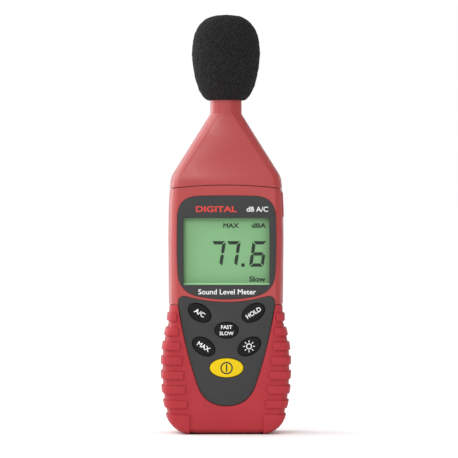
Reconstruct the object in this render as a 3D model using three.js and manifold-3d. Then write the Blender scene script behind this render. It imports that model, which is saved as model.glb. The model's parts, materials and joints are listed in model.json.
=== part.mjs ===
// Handheld sound level meter, standing on its bottom end with the microphone up.
// Millimetres. +Z up along the body, front (display) towards -Y, +X to the right seen from the front.
// The origin is the centre of the bottom of the bounding box.
import * as THREE from "three";
import { mergeVertices } from "three/addons/utils/BufferGeometryUtils.js";
import Module from "manifold-3d";

const wasm = await Module();
wasm.setup();

// ---- Driving dimensions ----
const OVERALL_HEIGHT = 200;
const GAP = 0.3; // between pieces that meet on curved faces
const FAR = 60; // past every face of the body
const BOW_STEPS = 10; // straight pieces in a bowed edge
const CORNER_STEPS = 8; // straight pieces in a rounded corner of the bezel and the keypad panel

// Case: half-widths at the parting plane by height, and half-depths.
const CASE_TOP_PROFILE = [[61, 27.3], [76, 27.5], [92, 27.65], [106, 27.48], [113, 27.2], [119, 26.75]];
const CASE_DEPTH = 17.2; // half-depth of the display section
const CASE_WALL = 2;
const CASE_LOWER_DEPTH = 16.2; // half-depth under the grip
const CASE_BOTTOM = 2.4;
const CASE_FACE_INSET = 3.8; // from the widest point in to the edge of the flat face
const CASE_SHOULDER_INSET = 1.2; // from the widest point in to the outer edge of the bevel
const CASE_BEVEL_DROP = 3.2; // depth of the bevel
const CASE_CORNER_ROUND = 1.2;
const PARTING_GAP = 0.1; // each half stops this far from the parting plane

// Grip: soft cover of the lower body, with ribs.
const GRIP_PROFILE = [
  [10, 28.1], [15, 29.2], [22, 30.1], [30, 30.4], [38.5, 30.25], [45.5, 29.25], [53, 27.45], [61.4, 27.1],
];
const GRIP_TOP = 61.4;
const GRIP_BOTTOM = 0.7;
const GRIP_DEPTH = 18.1;
const GRIP_CORNER_TOP = 10; // where the flank turns into the lower corner
const GRIP_CORNER_X = 18; // where the lower corner turns into the flat bottom
const GRIP_CORNER_POWER = 1.85; // 2 would be an elliptical corner
const GRIP_SIDE_WALL = 1.8;
const GRIP_FACE_INSET = 3.2;
const GRIP_SHOULDER_INSET = 0.9;
const GRIP_BEVEL_DROP = 2.6;
const GRIP_CORNER_ROUND = 1.6;
const RIB_HEIGHT = 0.9;
const RIB_LENGTH_Z = 3.8;
const RIB_PITCH = 6.9;
const RIB_TOP_Z = 55.65; // centre of the highest rib
const RIB_COUNT = 7;
const RIB_INNER_TOP = 23.65; // distance of the highest rib's inner end from the centre line
const RIB_INNER_STEP = 0.83; // each lower rib reaches further in by this much
const FOOT_INNER = 17.45; // the corner blocks that the meter stands on
const FOOT_TOP = 9.4;

// Nose cone and neck.
const SEAM_CENTRE_Z = 118.2;
const SEAM_RADIUS = 210;
// How far each height of the cone has turned from the body's section (0) into the round neck (1).
const CONE_TAPER = [
  [118, 0], [120.7, 0.015], [122.4, 0.035], [124, 0.073], [126.5, 0.154], [139.5, 0.577], [152.6, 1],
];
const NECK_BASE_Z = 152.6;
const NECK_RADIUS = 7.5;
const NECK_TOP_RADIUS = 7.35;
const NECK_TOP_Z = 172;
const CONE_WALL = 2;
const SPIGOT_TOP_Z = 121.5;

// Microphone.
const MIC_RADIUS = 6.35; // half-inch microphone
const MIC_WALL = 0.9;
const MIC_BOTTOM_Z = 160;
const MIC_TOP_Z = 190;
const MIC_GRID_Z = 184;
const MIC_SEAT_BOTTOM_Z = 159.7;
const MIC_CAPSULE = { radius: 4.9, bottom: 175, top: 183 };
const MIC_GROMMET = { bore: 2, radius: 5.2, bottom: 165, top: 169 };
const MIC_LEAD_RADIUS = 1;
const MIC_LEAD_ROUTE = [[0, 0, 174.5], [0, 0, 150], [0, 3, 132], [0, 0, 119], [0, -6.4, 112.2]];
const LEAD_BORE = { radius: 4.6, bottom: 150, top: 162 }; // through the neck

// Windscreen.
const WINDSCREEN_RADIUS = 16.25;
const WINDSCREEN_BOTTOM_Z = 158.8;
const WINDSCREEN_WIDEST_Z = 181;

// Display.
const LCD_WINDOW = { halfWidth: 20.4, bottom: 71, top: 102.7 };
const LCD_FRAME = { halfWidth: 21.9, bottom: 68.3, top: 105.3, front: -14.3, wall: 0.6 };
const LCD_GLASS = { halfWidth: 21.1, bottom: 69.1, top: 104.5, front: -14.2, back: -12.4 };
const BACKLIGHT = { halfWidth: 19.6, bottom: 72, top: 101.6, front: -12.2 };
const BACKLIGHT_LED = { left: 19.8, right: 21, bottom: 83, top: 91 };
const ZEBRA_STRIP = { halfWidth: 20, front: -12.35, height: 2, lowerZ: 69.6, upperZ: 102 };
const PANE = { front: -16.35, back: -15.35, corner: 0.8, overlap: 0.4 };
const BEZEL_FRONT = -17.2;
const BEZEL_BACK = -16.4;

// Keypad.
const PANEL_FRONT = -17.4;
const PANEL_BACK = -16.2;
const KEY_FRONT = -17.95;
const KEY_CAP_BACK = -14.2;
const KEY_FLANGE = { grow: 0.9, front: -14.25, back: -13.4 };
const KEY_PLUNGER = { radius: 1.6, front: -13.5, back: -11.5 };
const KEY_CLEARANCE = 0.2;
const KEY_SEGMENTS = 14; // steps round half an oval
const SMALL_KEY = [5.8, 3.8]; // half-axes of an oval key
const KEYS = [
  { name: "key_ac", x: -12.75, z: 57.75, half: SMALL_KEY, turn: -32 },
  { name: "key_hold", x: 12.75, z: 57.75, half: SMALL_KEY, turn: 32 },
  { name: "key_fast_slow", x: 0, z: 49.5, half: [5.5, 3.7], turn: 0 },
  { name: "key_max", x: -10.85, z: 41.75, half: SMALL_KEY, turn: -32 },
  { name: "key_light", x: 10.85, z: 41.75, half: SMALL_KEY, turn: 32 },
  { name: "key_power", x: 0, z: 31.65, half: [7.95, 4.5], turn: 0 },
];

// Board.
const BOARD_FRONT = -10;
const BOARD_BACK = -8.4;
const BOARD_BOTTOM = 14;
const BOARD_TOP = 112.4;
const BOARD_HALF_WIDTH = 21.3;
const BOARD_INSET = 2.4; // from the keypad panel's outline in to the board's
const MAT = { front: -12.3, back: -10.25, holeRadius: 2.4 };
const MAT_TOP = 62.8; // straight top edge of the mat and the dome sheet
const DOME_SHEET_FRONT = -10.2;
const DOME_PROFILE = [[0, 10.6], [1, 10.5], [2, 10.1], [0, 10.1]]; // radius, distance in front of the middle
const ON_BOARD = BOARD_BACK + 0.02; // parts on the board stand on its back face
const CHIPS = [
  { name: "mic_plug", x: 0, z: 108.6, width: 8, height: 5, thick: 4, finish: "whitePlastic" },
  { name: "mcu_chip", x: -6, z: 92, width: 12, height: 12, thick: 1.6, finish: "blackPlastic" },
  { name: "amplifier_chip", x: 9, z: 99, width: 6, height: 8, thick: 1.5, finish: "blackPlastic" },
  { name: "crystal_can", x: -15, z: 79, width: 4, height: 10, thick: 3.4, finish: "steel" },
];
const CAPACITOR = { radius: 3.1, x: 12, z: 79, height: 7 };

// Battery, its bay and its door.
const BATTERY = { halfWidth: 13.25, front: -6, back: 11.5, bottom: 13, top: 59.5 };
const TERMINAL_HEIGHT = 2.6;
const TERMINALS = { positive: { x: -6.3, radius: 2.9 }, negative: { x: 6.3, radius: 3.8 } };
const SNAP = { halfWidth: 12, front: -2.5, back: 8, above: 2.9, thick: 3.6 };
const BATTERY_LEAD = { radius: 0.7, x: 2.2, y: 3.2 };
const BAY_CLEARANCE = 0.5;
const BAY_WALL = 1.2;
const BAY_TOP = 68;
const DOOR = { halfWidth: 16.5, bottom: 4, top: 58, front: 15.3, back: 18, corner: 3 };
const DOOR_GAP = 0.35;
const DOOR_TAB = { x: 8, halfWidth: 2.5, front: 13, back: 14.1, reach: 1.2 };
const DOOR_GROOVES = { halfWidth: 5, lowest: 15.4, pitch: 2, width: 1, bottom: 17.4 };
const DOOR_PAD = { halfWidth: 11, bottom: 22, top: 48 };
const DOOR_SCREW_Z = 8.2;

// Fasteners: centres as [x, z].
const CASE_SCREWS_UPPER = [[-11.4, 109.8], [11.4, 109.8]];
const CASE_SCREWS_LOWER = [[-12, 8], [12, 8]];
const BOARD_SCREWS = [[-18, 65.2], [18, 65.2]];
const CASE_SCREW_TIP = -8;
const UPPER_HEAD = [14.3, 16.4]; // where the screw heads start and end along Y
const LOWER_HEAD = [10.1, 12.2];
const DOOR_HEAD = [16.7, 17.9];
const DOOR_SCREW_TIP = 11.4;
const BOARD_SCREW_TIP = -13.5;
const SCREW_RADIUS = 1.4;
const SCREW_HEAD_RADIUS = 2.7;
const BOSS_RADIUS = 3;
const BOARD_SCREW_RADIUS = 0.9;
const BOARD_SCREW_HEAD_RADIUS = 1.8;
const BOARD_BOSS_RADIUS = 2.05;

// Tripod socket in the back.
const TRIPOD_Z = 84;
const TRIPOD_HOLE_RADIUS = 3.2; // 1/4 inch thread
const TRIPOD_INSERT_RADIUS = 4.8;
const TRIPOD_INSERT_BACK = 17;
const TRIPOD_INSERT_FRONT = 8.5;

// Calibration trimmer and the rubber plug over its access hole, in the right side.
const TRIMMER_Y = -5.2;
const TRIMMER_Z = 109;
const PLUG = { bottom: 103.4, top: 115, front: -8.8, back: -1.8, inside: 25.9, proud: 0.3 };
const PLUG_STEM = { radius: 1.8, tip: 23.7 };
const ACCESS_HOLE_RADIUS = 2.1;
const TRIMMER = { left: 14.8, right: 21.4, back: -2, halfHeight: 2.8 };
const ROTOR = {
  radius: 1.8, left: 21.7, right: 23.2, slotFrom: 22.7, slotHalfLength: 1.5, slotHalfWidth: 0.35,
};

// Rating label on the back.
const LABEL = { halfWidth: 15, bottom: 92.6, top: 104.4, corner: 1, thick: 0.15 };

// ---- Solids ----
// A closed three.js geometry as a manifold-3d solid, turned right side out.
function solid(geometry) {
  const bare = new THREE.BufferGeometry();
  bare.setAttribute("position", geometry.getAttribute("position"));
  bare.setIndex(geometry.index);
  const merged = mergeVertices(bare, 1e-4);
  const vertProperties = new Float32Array(merged.attributes.position.array);
  const triVerts = new Uint32Array(merged.index.array);
  const made = new wasm.Manifold(new wasm.Mesh({ numProp: 3, vertProperties, triVerts }));
  if (made.volume() > 0) return made;
  for (let i = 0; i < triVerts.length; i += 3)
    [triVerts[i + 1], triVerts[i + 2]] = [triVerts[i + 2], triVerts[i + 1]];
  return new wasm.Manifold(new wasm.Mesh({ numProp: 3, vertProperties, triVerts }));
}

function geometryOf(made) {
  const mesh = made.getMesh();
  const points = new Float32Array(mesh.numVert * 3);
  for (let i = 0; i < mesh.numVert; i++)
    points.set(mesh.vertProperties.subarray(i * mesh.numProp, i * mesh.numProp + 3), i * 3);
  const geometry = new THREE.BufferGeometry();
  geometry.setAttribute("position", new THREE.BufferAttribute(points, 3));
  geometry.setIndex(new THREE.BufferAttribute(mesh.triVerts, 1));
  geometry.computeVertexNormals();
  return geometry;
}

function joined(pieces) {
  return pieces.reduce((all, piece) => all.add(piece));
}

function box([x0, x1], [y0, y1], [z0, z1]) {
  const geometry = new THREE.BoxGeometry(x1 - x0, y1 - y0, z1 - z0);
  return solid(geometry.translate((x0 + x1) / 2, (y0 + y1) / 2, (z0 + z1) / 2));
}

function rodAlongY(radius, y0, y1, x, z, sides = 20) {
  const geometry = new THREE.CylinderGeometry(radius, radius, y1 - y0, sides);
  return solid(geometry.translate(x, (y0 + y1) / 2, z));
}

function rodAlongX(radius, x0, x1, y, z, sides = 20) {
  const geometry = new THREE.CylinderGeometry(radius, radius, x1 - x0, sides);
  return solid(geometry.rotateZ(Math.PI / 2).translate((x0 + x1) / 2, y, z));
}

// A shape drawn in X and Z, made solid from y0 to y1.
function plate(shape, y0, y1, curveSegments = 4) {
  const geometry = new THREE.ExtrudeGeometry(shape, { depth: y1 - y0, bevelEnabled: false, curveSegments });
  return solid(geometry.rotateX(Math.PI / 2).translate(0, y1, 0));
}

// A profile of [radius, z] points turned about the Z axis.
function turned(profile, sides = 32) {
  const points = profile.map(([radius, z]) => new THREE.Vector2(radius, z));
  return solid(new THREE.LatheGeometry(points, sides).rotateX(Math.PI / 2));
}

function rodAlongZ(radius, z0, z1, sides = 32) {
  return turned([[0, z0], [radius, z0], [radius, z1], [0, z1]], sides);
}

// A tube of one radius along a smooth curve through the points.
function tube(points, radius, steps) {
  const path = new THREE.CatmullRomCurve3(points.map((p) => new THREE.Vector3(...p)));
  const section = new THREE.Shape().absarc(0, 0, radius, 0, 2 * Math.PI);
  const options = { extrudePath: path, steps, curveSegments: 4, bevelEnabled: false };
  return solid(new THREE.ExtrudeGeometry(section, options));
}

// A skin over a stack of rings with equal numbers of points, closed by a fan at each end.
function loft(rings) {
  const count = rings[0].length;
  const points = rings.flat(2);
  const faces = [];
  for (let i = 0; i + 1 < rings.length; i++)
    for (let j = 0; j < count; j++) {
      const a = i * count + j;
      const b = i * count + ((j + 1) % count);
      faces.push(a, b, b + count, a, b + count, a + count);
    }
  const last = (rings.length - 1) * count;
  for (let j = 1; j + 1 < count; j++) faces.push(0, j + 1, j, last, last + j, last + j + 1);
  const geometry = new THREE.BufferGeometry();
  geometry.setAttribute("position", new THREE.Float32BufferAttribute(points, 3));
  geometry.setIndex(faces);
  return solid(geometry);
}

// A smooth value between [position, value] points.
function between(profile, at) {
  const i = Math.max(1, profile.findIndex(([p]) => p >= at));
  const last = at > profile.at(-1)[0] ? profile.length - 1 : i;
  const [[p0, v0], [p1, v1]] = [profile[last - 1], profile[last]];
  const slope = (k) => {
    const a = profile[Math.max(0, k - 1)];
    const b = profile[Math.min(profile.length - 1, k + 1)];
    return (b[1] - a[1]) / (b[0] - a[0]);
  };
  const h = p1 - p0;
  const t = (at - p0) / h;
  const [m0, m1] = [slope(last - 1) * h, slope(last) * h];
  const [t2, t3] = [t * t, t * t * t];
  return (2 * t3 - 3 * t2 + 1) * v0 + (t3 - 2 * t2 + t) * m0 + (3 * t2 - 2 * t3) * v1 + (t3 - t2) * m1;
}

// ---- Sections of the body ----
// Replaces a corner of a ring by a short curve that starts and ends within reach of it.
function roundedCorner(before, corner, after, reach, steps) {
  const from = (p) => {
    const length = Math.hypot(p[0] - corner[0], p[1] - corner[1]);
    const share = Math.min(reach, 0.45 * length) / length;
    return [corner[0] + (p[0] - corner[0]) * share, corner[1] + (p[1] - corner[1]) * share];
  };
  const [a, b] = [from(before), from(after)];
  return Array.from({ length: steps + 1 }, (_, i) => {
    const t = i / steps;
    return [0, 1].map((k) => (1 - t) ** 2 * a[k] + 2 * t * (1 - t) * corner[k] + t * t * b[k]);
  });
}

// One ring of the body: flat front and back, bevels, and sides that meet at the parting plane.
function bodyRing(z, halfWidth, halfDepth, { face, shoulder, drop, round }) {
  const quarter = [
    [halfWidth - face, -halfDepth],
    [halfWidth - shoulder, drop - halfDepth],
    [halfWidth, 0],
  ];
  const right = [...quarter, ...quarter.slice(0, 2).reverse().map(([x, y]) => [x, -y])];
  const all = [...right, ...right.toReversed().map(([x, y]) => [-x, y])];
  return all.flatMap((corner, i) => {
    if (corner[1] === 0) return [[...corner, z]];
    const neighbours = [all.at(i - 1), all[(i + 1) % all.length]];
    return roundedCorner(neighbours[0], corner, neighbours[1], round, 2).map((p) => [...p, z]);
  });
}

const CASE_SHAPE = {
  face: CASE_FACE_INSET, shoulder: CASE_SHOULDER_INSET, drop: CASE_BEVEL_DROP, round: CASE_CORNER_ROUND,
};
const GRIP_SHAPE = {
  face: GRIP_FACE_INSET, shoulder: GRIP_SHOULDER_INSET, drop: GRIP_BEVEL_DROP, round: GRIP_CORNER_ROUND,
};

// The lower body's half-width in a layer that lies offset from the grip's surface and ends at bottom:
// a smooth flank, over a corner that rounds into the flat bottom.
function lowerHalfWidth(z, offset, bottom) {
  if (z >= GRIP_CORNER_TOP) return between(GRIP_PROFILE, z) + offset;
  const fall = (GRIP_CORNER_TOP - z) / (GRIP_CORNER_TOP - bottom);
  const share = (1 - fall ** GRIP_CORNER_POWER) ** (1 / GRIP_CORNER_POWER);
  return GRIP_CORNER_X + (GRIP_PROFILE[0][1] + offset - GRIP_CORNER_X) * share;
}

function lowerBody(offset, depth, bottom, top, shape) {
  const corner = [0, 0.03, 0.09, 0.19, 0.34, 0.54, 0.76].map((t) => bottom + (GRIP_CORNER_TOP - bottom) * t);
  const flank = [10, 15, 22, 30, 38.5, 45.5, 53].filter((z) => z < top - 1);
  const rings = [...corner, ...flank, top].map((z) => {
    const edge = Math.max(0, 2.4 - (z - bottom)) ** 2 * 0.45; // the rounded lower edge, seen from the side
    return bodyRing(z, lowerHalfWidth(z, offset, bottom), depth - edge, shape);
  });
  return loft(rings);
}

function upperBody(offset, bottom, top) {
  const inside = [76, 92, 106, 113].filter((z) => z > bottom && z < top);
  const rings = [bottom, ...inside, top].map((z) =>
    bodyRing(z, between(CASE_TOP_PROFILE, z) + offset, CASE_DEPTH + offset, CASE_SHAPE));
  return loft(rings);
}

const frontHalf = box([-FAR, FAR], [-FAR, -PARTING_GAP], [-FAR, 4 * FAR]);
const rearHalf = box([-FAR, FAR], [PARTING_GAP, FAR], [-FAR, 4 * FAR]);

// Everything under the arched seam between the case and the nose cone, which dips towards the sides.
function belowSeam(raise) {
  const shape = new THREE.Shape();
  const centreZ = SEAM_CENTRE_Z + raise;
  const halfAngle = Math.asin(35 / SEAM_RADIUS);
  shape.absarc(0, centreZ - SEAM_RADIUS, SEAM_RADIUS, Math.PI / 2 + halfAngle, Math.PI / 2 - halfAngle, true);
  shape.lineTo(35, -10).lineTo(-35, -10);
  shape.closePath();
  return plate(shape, -FAR, FAR, 12);
}

// ---- Outlines on the front ----
// A closed outline through corners of {x, z, trim, bow}: each corner is rounded over its trim length,
// and the edge after it bows outwards by bow at its middle.
function outline(corners, grow = 0) {
  const centre = corners.reduce((s, c) => [s[0] + c.x / corners.length, s[1] + c.z / corners.length], [0, 0]);
  const grown = corners.map((c) => {
    const towards = [Math.sign(c.x - centre[0]), Math.sign(c.z - centre[1])];
    return { ...c, x: c.x + grow * towards[0], z: c.z + grow * towards[1], trim: Math.max(0, c.trim + grow) };
  });
  const edges = grown.map((a, i) => {
    const b = grown[(i + 1) % grown.length];
    const length = Math.hypot(b.x - a.x, b.z - a.z);
    const along = [(b.x - a.x) / length, (b.z - a.z) / length];
    const outwards = [along[1], -along[0]];
    return (distance) => {
      const t = distance / length;
      const bulge = 4 * a.bow * t * (1 - t);
      return new THREE.Vector2(
        a.x + along[0] * distance + outwards[0] * bulge,
        a.z + along[1] * distance + outwards[1] * bulge,
      );
    };
  });
  const shape = new THREE.Shape();
  grown.forEach((corner, i) => {
    const previous = grown.at(i - 1);
    const next = grown[(i + 1) % grown.length];
    const before = edges.at(i - 1);
    const lengthBefore = Math.hypot(corner.x - previous.x, corner.z - previous.z);
    const start = before(lengthBefore - corner.trim);
    const end = edges[i](corner.trim);
    if (i === 0) shape.moveTo(start.x, start.y);
    else shape.lineTo(start.x, start.y);
    if (corner.trim) shape.quadraticCurveTo(corner.x, corner.z, end.x, end.y);
    const length = Math.hypot(next.x - corner.x, next.z - corner.z);
    const from = corner.trim;
    const to = length - next.trim;
    if (corner.bow)
      for (let k = 1; k < BOW_STEPS; k++) {
        const p = edges[i](from + ((to - from) * k) / BOW_STEPS);
        shape.lineTo(p.x, p.y);
      }
  });
  shape.closePath();
  return shape;
}

// Corners run anticlockwise seen from the front, starting at the lower left.
function bezelOutline(grow = 0) {
  return outline(
    [
      { x: -22.5, z: 68.05, trim: 8.25, bow: 3.8 },
      { x: 22.5, z: 68.05, trim: 8.25, bow: 0.85 },
      { x: 22.8, z: 112.7, trim: 9.1, bow: 0.55 },
      { x: -22.8, z: 112.7, trim: 9.1, bow: 0.85 },
    ],
    grow,
  );
}

function panelOutline(grow = 0) {
  return outline(
    [
      { x: -10, z: 13.65, trim: 9.9, bow: 0 },
      { x: 10, z: 13.65, trim: 9.9, bow: 1.8 },
      { x: 23.6, z: 66.95, trim: 5.8, bow: -4.25 },
      { x: -23.6, z: 66.95, trim: 5.8, bow: 1.8 },
    ],
    grow,
  );
}

function rectangle(halfWidth, bottom, top, corner, grow = 0) {
  const [w, z0, z1] = [halfWidth + grow, bottom - grow, top + grow];
  return outline([
    { x: -w, z: z0, trim: corner, bow: 0 },
    { x: w, z: z0, trim: corner, bow: 0 },
    { x: w, z: z1, trim: corner, bow: 0 },
    { x: -w, z: z1, trim: corner, bow: 0 },
  ]);
}

function lcdRectangle(corner, grow = 0) {
  return rectangle(LCD_WINDOW.halfWidth, LCD_WINDOW.bottom, LCD_WINDOW.top, corner, grow);
}

function keyOutline({ x, z, half, turn }, grow = 0) {
  const shape = new THREE.Shape();
  const angle = THREE.MathUtils.degToRad(turn);
  shape.absellipse(x, z, half[0] + grow, half[1] + grow, 0, 2 * Math.PI, false, angle);
  return shape;
}

// ---- Case ----
const lcdOpening = plate(lcdRectangle(PANE.corner, 0.7), -FAR, 0);

// Both halves of the case in one, hollow, before the features of each half.
function caseShell() {
  const lowerShape = { ...CASE_SHAPE, face: GRIP_FACE_INSET, drop: GRIP_BEVEL_DROP };
  const sideOffset = -GRIP_SIDE_WALL - GAP;
  const lower = lowerBody(sideOffset, CASE_LOWER_DEPTH, CASE_BOTTOM, GRIP_TOP + GAP, lowerShape);
  const upper = upperBody(0, GRIP_TOP + GAP, SEAM_CENTRE_Z + 0.8).intersect(belowSeam(0));
  const lowerCavity = lowerBody(
    sideOffset - CASE_WALL, CASE_LOWER_DEPTH - 1.8, CASE_BOTTOM + CASE_WALL, GRIP_TOP + 1, lowerShape);
  const upperCavity = upperBody(-CASE_WALL, GRIP_TOP + 0.5, SEAM_CENTRE_Z + 3);
  return lower.add(upper).subtract(lowerCavity).subtract(upperCavity).add(spigot());
}

// The collar that the nose cone slides over.
function spigot() {
  const collar = upperBody(-CONE_WALL - GAP, 113, SPIGOT_TOP_Z);
  const root = upperBody(-CASE_WALL / 2, 113, 115.5);
  const bore = upperBody(-CONE_WALL - GAP - 1.6, 112, SPIGOT_TOP_Z + 1);
  return collar.add(root).subtract(bore);
}

function screwBoss([x, z], y0, y1, hole, radius = BOSS_RADIUS) {
  const boss = rodAlongY(radius, y0, y1, x, z, 16);
  return boss.subtract(rodAlongY(hole, y0 - 1, y1 + 1, x, z, 16));
}

const hollowCase = caseShell();

function frontCase() {
  const bezelRecess = plate(bezelOutline(0.25), -FAR, BEZEL_BACK, CORNER_STEPS);
  const panelRecess = plate(panelOutline(0.25), -FAR, PANEL_BACK, CORNER_STEPS);
  const keyHoles = joined(KEYS.map((key) => plate(keyOutline(key, KEY_CLEARANCE), -FAR, -13, KEY_SEGMENTS)));
  const plugPocket = box(
    [PLUG.inside - GAP, FAR], [PLUG.front - GAP, PLUG.back + GAP], [PLUG.bottom - GAP, PLUG.top + GAP]);
  const accessHole = rodAlongX(ACCESS_HOLE_RADIUS, 20, FAR, TRIMMER_Y, TRIMMER_Z);
  const body = hollowCase
    .intersect(frontHalf)
    .subtract(joined([bezelRecess, panelRecess, lcdOpening, keyHoles, plugPocket, accessHole]));
  const upperBosses = CASE_SCREWS_UPPER.map((at) => screwBoss(at, -16, -PARTING_GAP, SCREW_RADIUS + 0.1));
  const lowerBosses = CASE_SCREWS_LOWER.map((at) => screwBoss(at, -15, -PARTING_GAP, SCREW_RADIUS + 0.1));
  const boardBosses = BOARD_SCREWS.map((at) =>
    screwBoss(at, -15.8, BOARD_FRONT - 0.05, BOARD_SCREW_RADIUS + 0.1, BOARD_BOSS_RADIUS));
  const blocked = joined([bezelRecess, panelRecess]);
  return body.add(joined([...upperBosses, ...lowerBosses, ...boardBosses]).subtract(blocked));
}

function rearCase() {
  const doorHole = plate(rectangle(DOOR.halfWidth, DOOR.bottom, DOOR.top, DOOR.corner, DOOR_GAP), 12, FAR);
  const bayInside = box(
    [-BATTERY.halfWidth - BAY_CLEARANCE, BATTERY.halfWidth + BAY_CLEARANCE],
    [BATTERY.front - GAP, FAR],
    [BATTERY.bottom - BAY_CLEARANCE, BAY_TOP],
  );
  const bayOutside = box(
    [-BATTERY.halfWidth - BAY_CLEARANCE - BAY_WALL, BATTERY.halfWidth + BAY_CLEARANCE + BAY_WALL],
    [BATTERY.front - GAP - BAY_WALL, 15],
    [BATTERY.bottom - BAY_CLEARANCE - BAY_WALL, BAY_TOP + BAY_WALL],
  );
  const wireSlot = box([-4, 4], [0, 6], [BAY_TOP - 1, BAY_TOP + BAY_WALL + 1]);
  const shell = hollowCase.intersect(rearHalf).subtract(doorHole);
  const bay = bayOutside.subtract(bayInside).subtract(wireSlot);
  const upperScrews = CASE_SCREWS_UPPER.map((at) => screwBoss(at, PARTING_GAP, 15.8, SCREW_RADIUS + 0.2));
  const lowerScrews = CASE_SCREWS_LOWER.map((at) => screwBoss(at, PARTING_GAP, 10, SCREW_RADIUS + 0.2));
  const headRecesses = CASE_SCREWS_UPPER.map(([x, z]) => rodAlongY(SCREW_HEAD_RADIUS + GAP, 14.2, FAR, x, z));
  const doorBoss = rodAlongY(3.4, 4, 14.6, 0, DOOR_SCREW_Z).subtract(rodAlongY(2, 6, FAR, 0, DOOR_SCREW_Z));
  const lowerWeb = box([-15, 15], [PARTING_GAP, 9.6], [4, 5.6]);
  const tripodBoss = rodAlongY(7.2, 6.5, 15.6, 0, TRIPOD_Z, 24);
  const tripodHole = rodAlongY(TRIPOD_INSERT_RADIUS + 0.15, TRIPOD_INSERT_FRONT - 0.3, FAR, 0, TRIPOD_Z, 24);
  return joined([shell, bay, ...upperScrews, ...lowerScrews, lowerWeb, doorBoss, tripodBoss])
    .subtract(joined([...headRecesses, tripodHole]));
}

// ---- Grip ----
function ribbedGrip() {
  const base = lowerBody(0, GRIP_DEPTH, GRIP_BOTTOM, GRIP_TOP, GRIP_SHAPE);
  const raised = lowerBody(RIB_HEIGHT, GRIP_DEPTH + RIB_HEIGHT, 0, GRIP_TOP, GRIP_SHAPE);
  const bands = [];
  for (const side of [-1, 1]) {
    for (let i = 0; i < RIB_COUNT; i++) {
      const inner = RIB_INNER_TOP - i * RIB_INNER_STEP;
      const z = RIB_TOP_Z - i * RIB_PITCH;
      const across = [side * inner, side * FAR].sort((a, b) => a - b);
      bands.push(box(across, [-FAR, FAR], [z - RIB_LENGTH_Z / 2, z + RIB_LENGTH_Z / 2]));
    }
    bands.push(box([side * FOOT_INNER, side * FAR].sort((a, b) => a - b), [-FAR, FAR], [-1, FOOT_TOP]));
  }
  const shape = { ...CASE_SHAPE, face: GRIP_FACE_INSET, drop: GRIP_BEVEL_DROP };
  const core = lowerBody(-GRIP_SIDE_WALL, CASE_LOWER_DEPTH + GAP, CASE_BOTTOM - GAP, GRIP_TOP + 1, shape);
  return base.add(raised.intersect(joined(bands))).subtract(core);
}

const wholeGrip = ribbedGrip();

function frontGrip() {
  const window = plate(panelOutline(0.3), -FAR, -8, CORNER_STEPS);
  return wholeGrip.intersect(frontHalf).subtract(window);
}

function rearGrip() {
  const window = plate(rectangle(DOOR.halfWidth, DOOR.bottom, DOOR.top, DOOR.corner, DOOR_GAP), 8, FAR);
  return wholeGrip.intersect(rearHalf).subtract(window);
}

// ---- Nose cone ----
// A ring of the cone: the body's section, with each point moved by share of its way to the round neck.
function coneRing(z, share, offset, neckRadius) {
  const quarter = [20, 26, 32, 52, 58, 64]; // degrees from the front where the section's points meet the neck
  const right = [...quarter, 90, ...quarter.toReversed().map((angle) => 180 - angle)];
  const angles = [...right, ...right.toReversed().map((angle) => -angle)];
  const halfWidth = between(CASE_TOP_PROFILE, 118) + offset;
  return bodyRing(z, halfWidth, CASE_DEPTH + offset, CASE_SHAPE).map(([x, y], i) => {
    const angle = THREE.MathUtils.degToRad(angles[i]);
    const round = [neckRadius * Math.sin(angle), -neckRadius * Math.cos(angle)];
    return [x + (round[0] - x) * share, y + (round[1] - y) * share, z];
  });
}

function coneBody(offset, neckRadius, bottom, neckTop) {
  const taper = [[bottom, 0], ...CONE_TAPER, [neckTop, 1]];
  return loft(taper.map(([z, share]) => coneRing(z, share, offset, neckRadius)));
}

function noseCone() {
  const outside = coneBody(0, NECK_RADIUS, 113, NECK_BASE_Z + 0.6);
  const neck = turned([
    [0, 150], [NECK_RADIUS, 150], [NECK_RADIUS, NECK_BASE_Z], [NECK_TOP_RADIUS, NECK_TOP_Z], [0, NECK_TOP_Z],
  ]);
  const inside = coneBody(-CONE_WALL, 5.2, 112, NECK_BASE_Z + 0.3);
  const micSeat = rodAlongZ(MIC_RADIUS + 0.1, MIC_SEAT_BOTTOM_Z, 175);
  const leadBore = rodAlongZ(LEAD_BORE.radius, LEAD_BORE.bottom, LEAD_BORE.top, 20);
  return outside.add(neck).subtract(inside).subtract(micSeat).subtract(leadBore).subtract(belowSeam(GAP));
}

// ---- Microphone and windscreen ----
function micHousing() {
  const wall = MIC_RADIUS - MIC_WALL;
  return turned([
    [wall, MIC_BOTTOM_Z], [MIC_RADIUS, MIC_BOTTOM_Z], [MIC_RADIUS, MIC_GRID_Z - 0.4],
    [wall, MIC_GRID_Z - 0.4], [wall, MIC_BOTTOM_Z],
  ]);
}

// A cap over the capsule with five parallel slots across its top.
function micGrid() {
  const cap = turned([
    [0, MIC_GRID_Z], [MIC_RADIUS, MIC_GRID_Z], [MIC_RADIUS, MIC_TOP_Z - 0.5], [MIC_RADIUS - 0.5, MIC_TOP_Z],
    [0, MIC_TOP_Z],
  ]);
  const hollow = rodAlongZ(MIC_RADIUS - 0.8, MIC_GRID_Z - 1, MIC_TOP_Z - 1);
  const slots = [-3.6, -1.8, 0, 1.8, 3.6].map((x) => {
    const halfLength = Math.sqrt(4.9 ** 2 - x ** 2);
    return box([x - 0.45, x + 0.45], [-halfLength, halfLength], [MIC_TOP_Z - 2, MIC_TOP_Z + 1]);
  });
  return cap.subtract(joined([hollow, ...slots]));
}

function micCapsule() {
  return rodAlongZ(MIC_CAPSULE.radius, MIC_CAPSULE.bottom, MIC_CAPSULE.top, 24);
}

function micGrommet() {
  const { bore, radius, bottom, top } = MIC_GROMMET;
  return turned([[bore, bottom], [radius, bottom], [radius, top], [bore, top], [bore, bottom]], 24);
}

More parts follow.
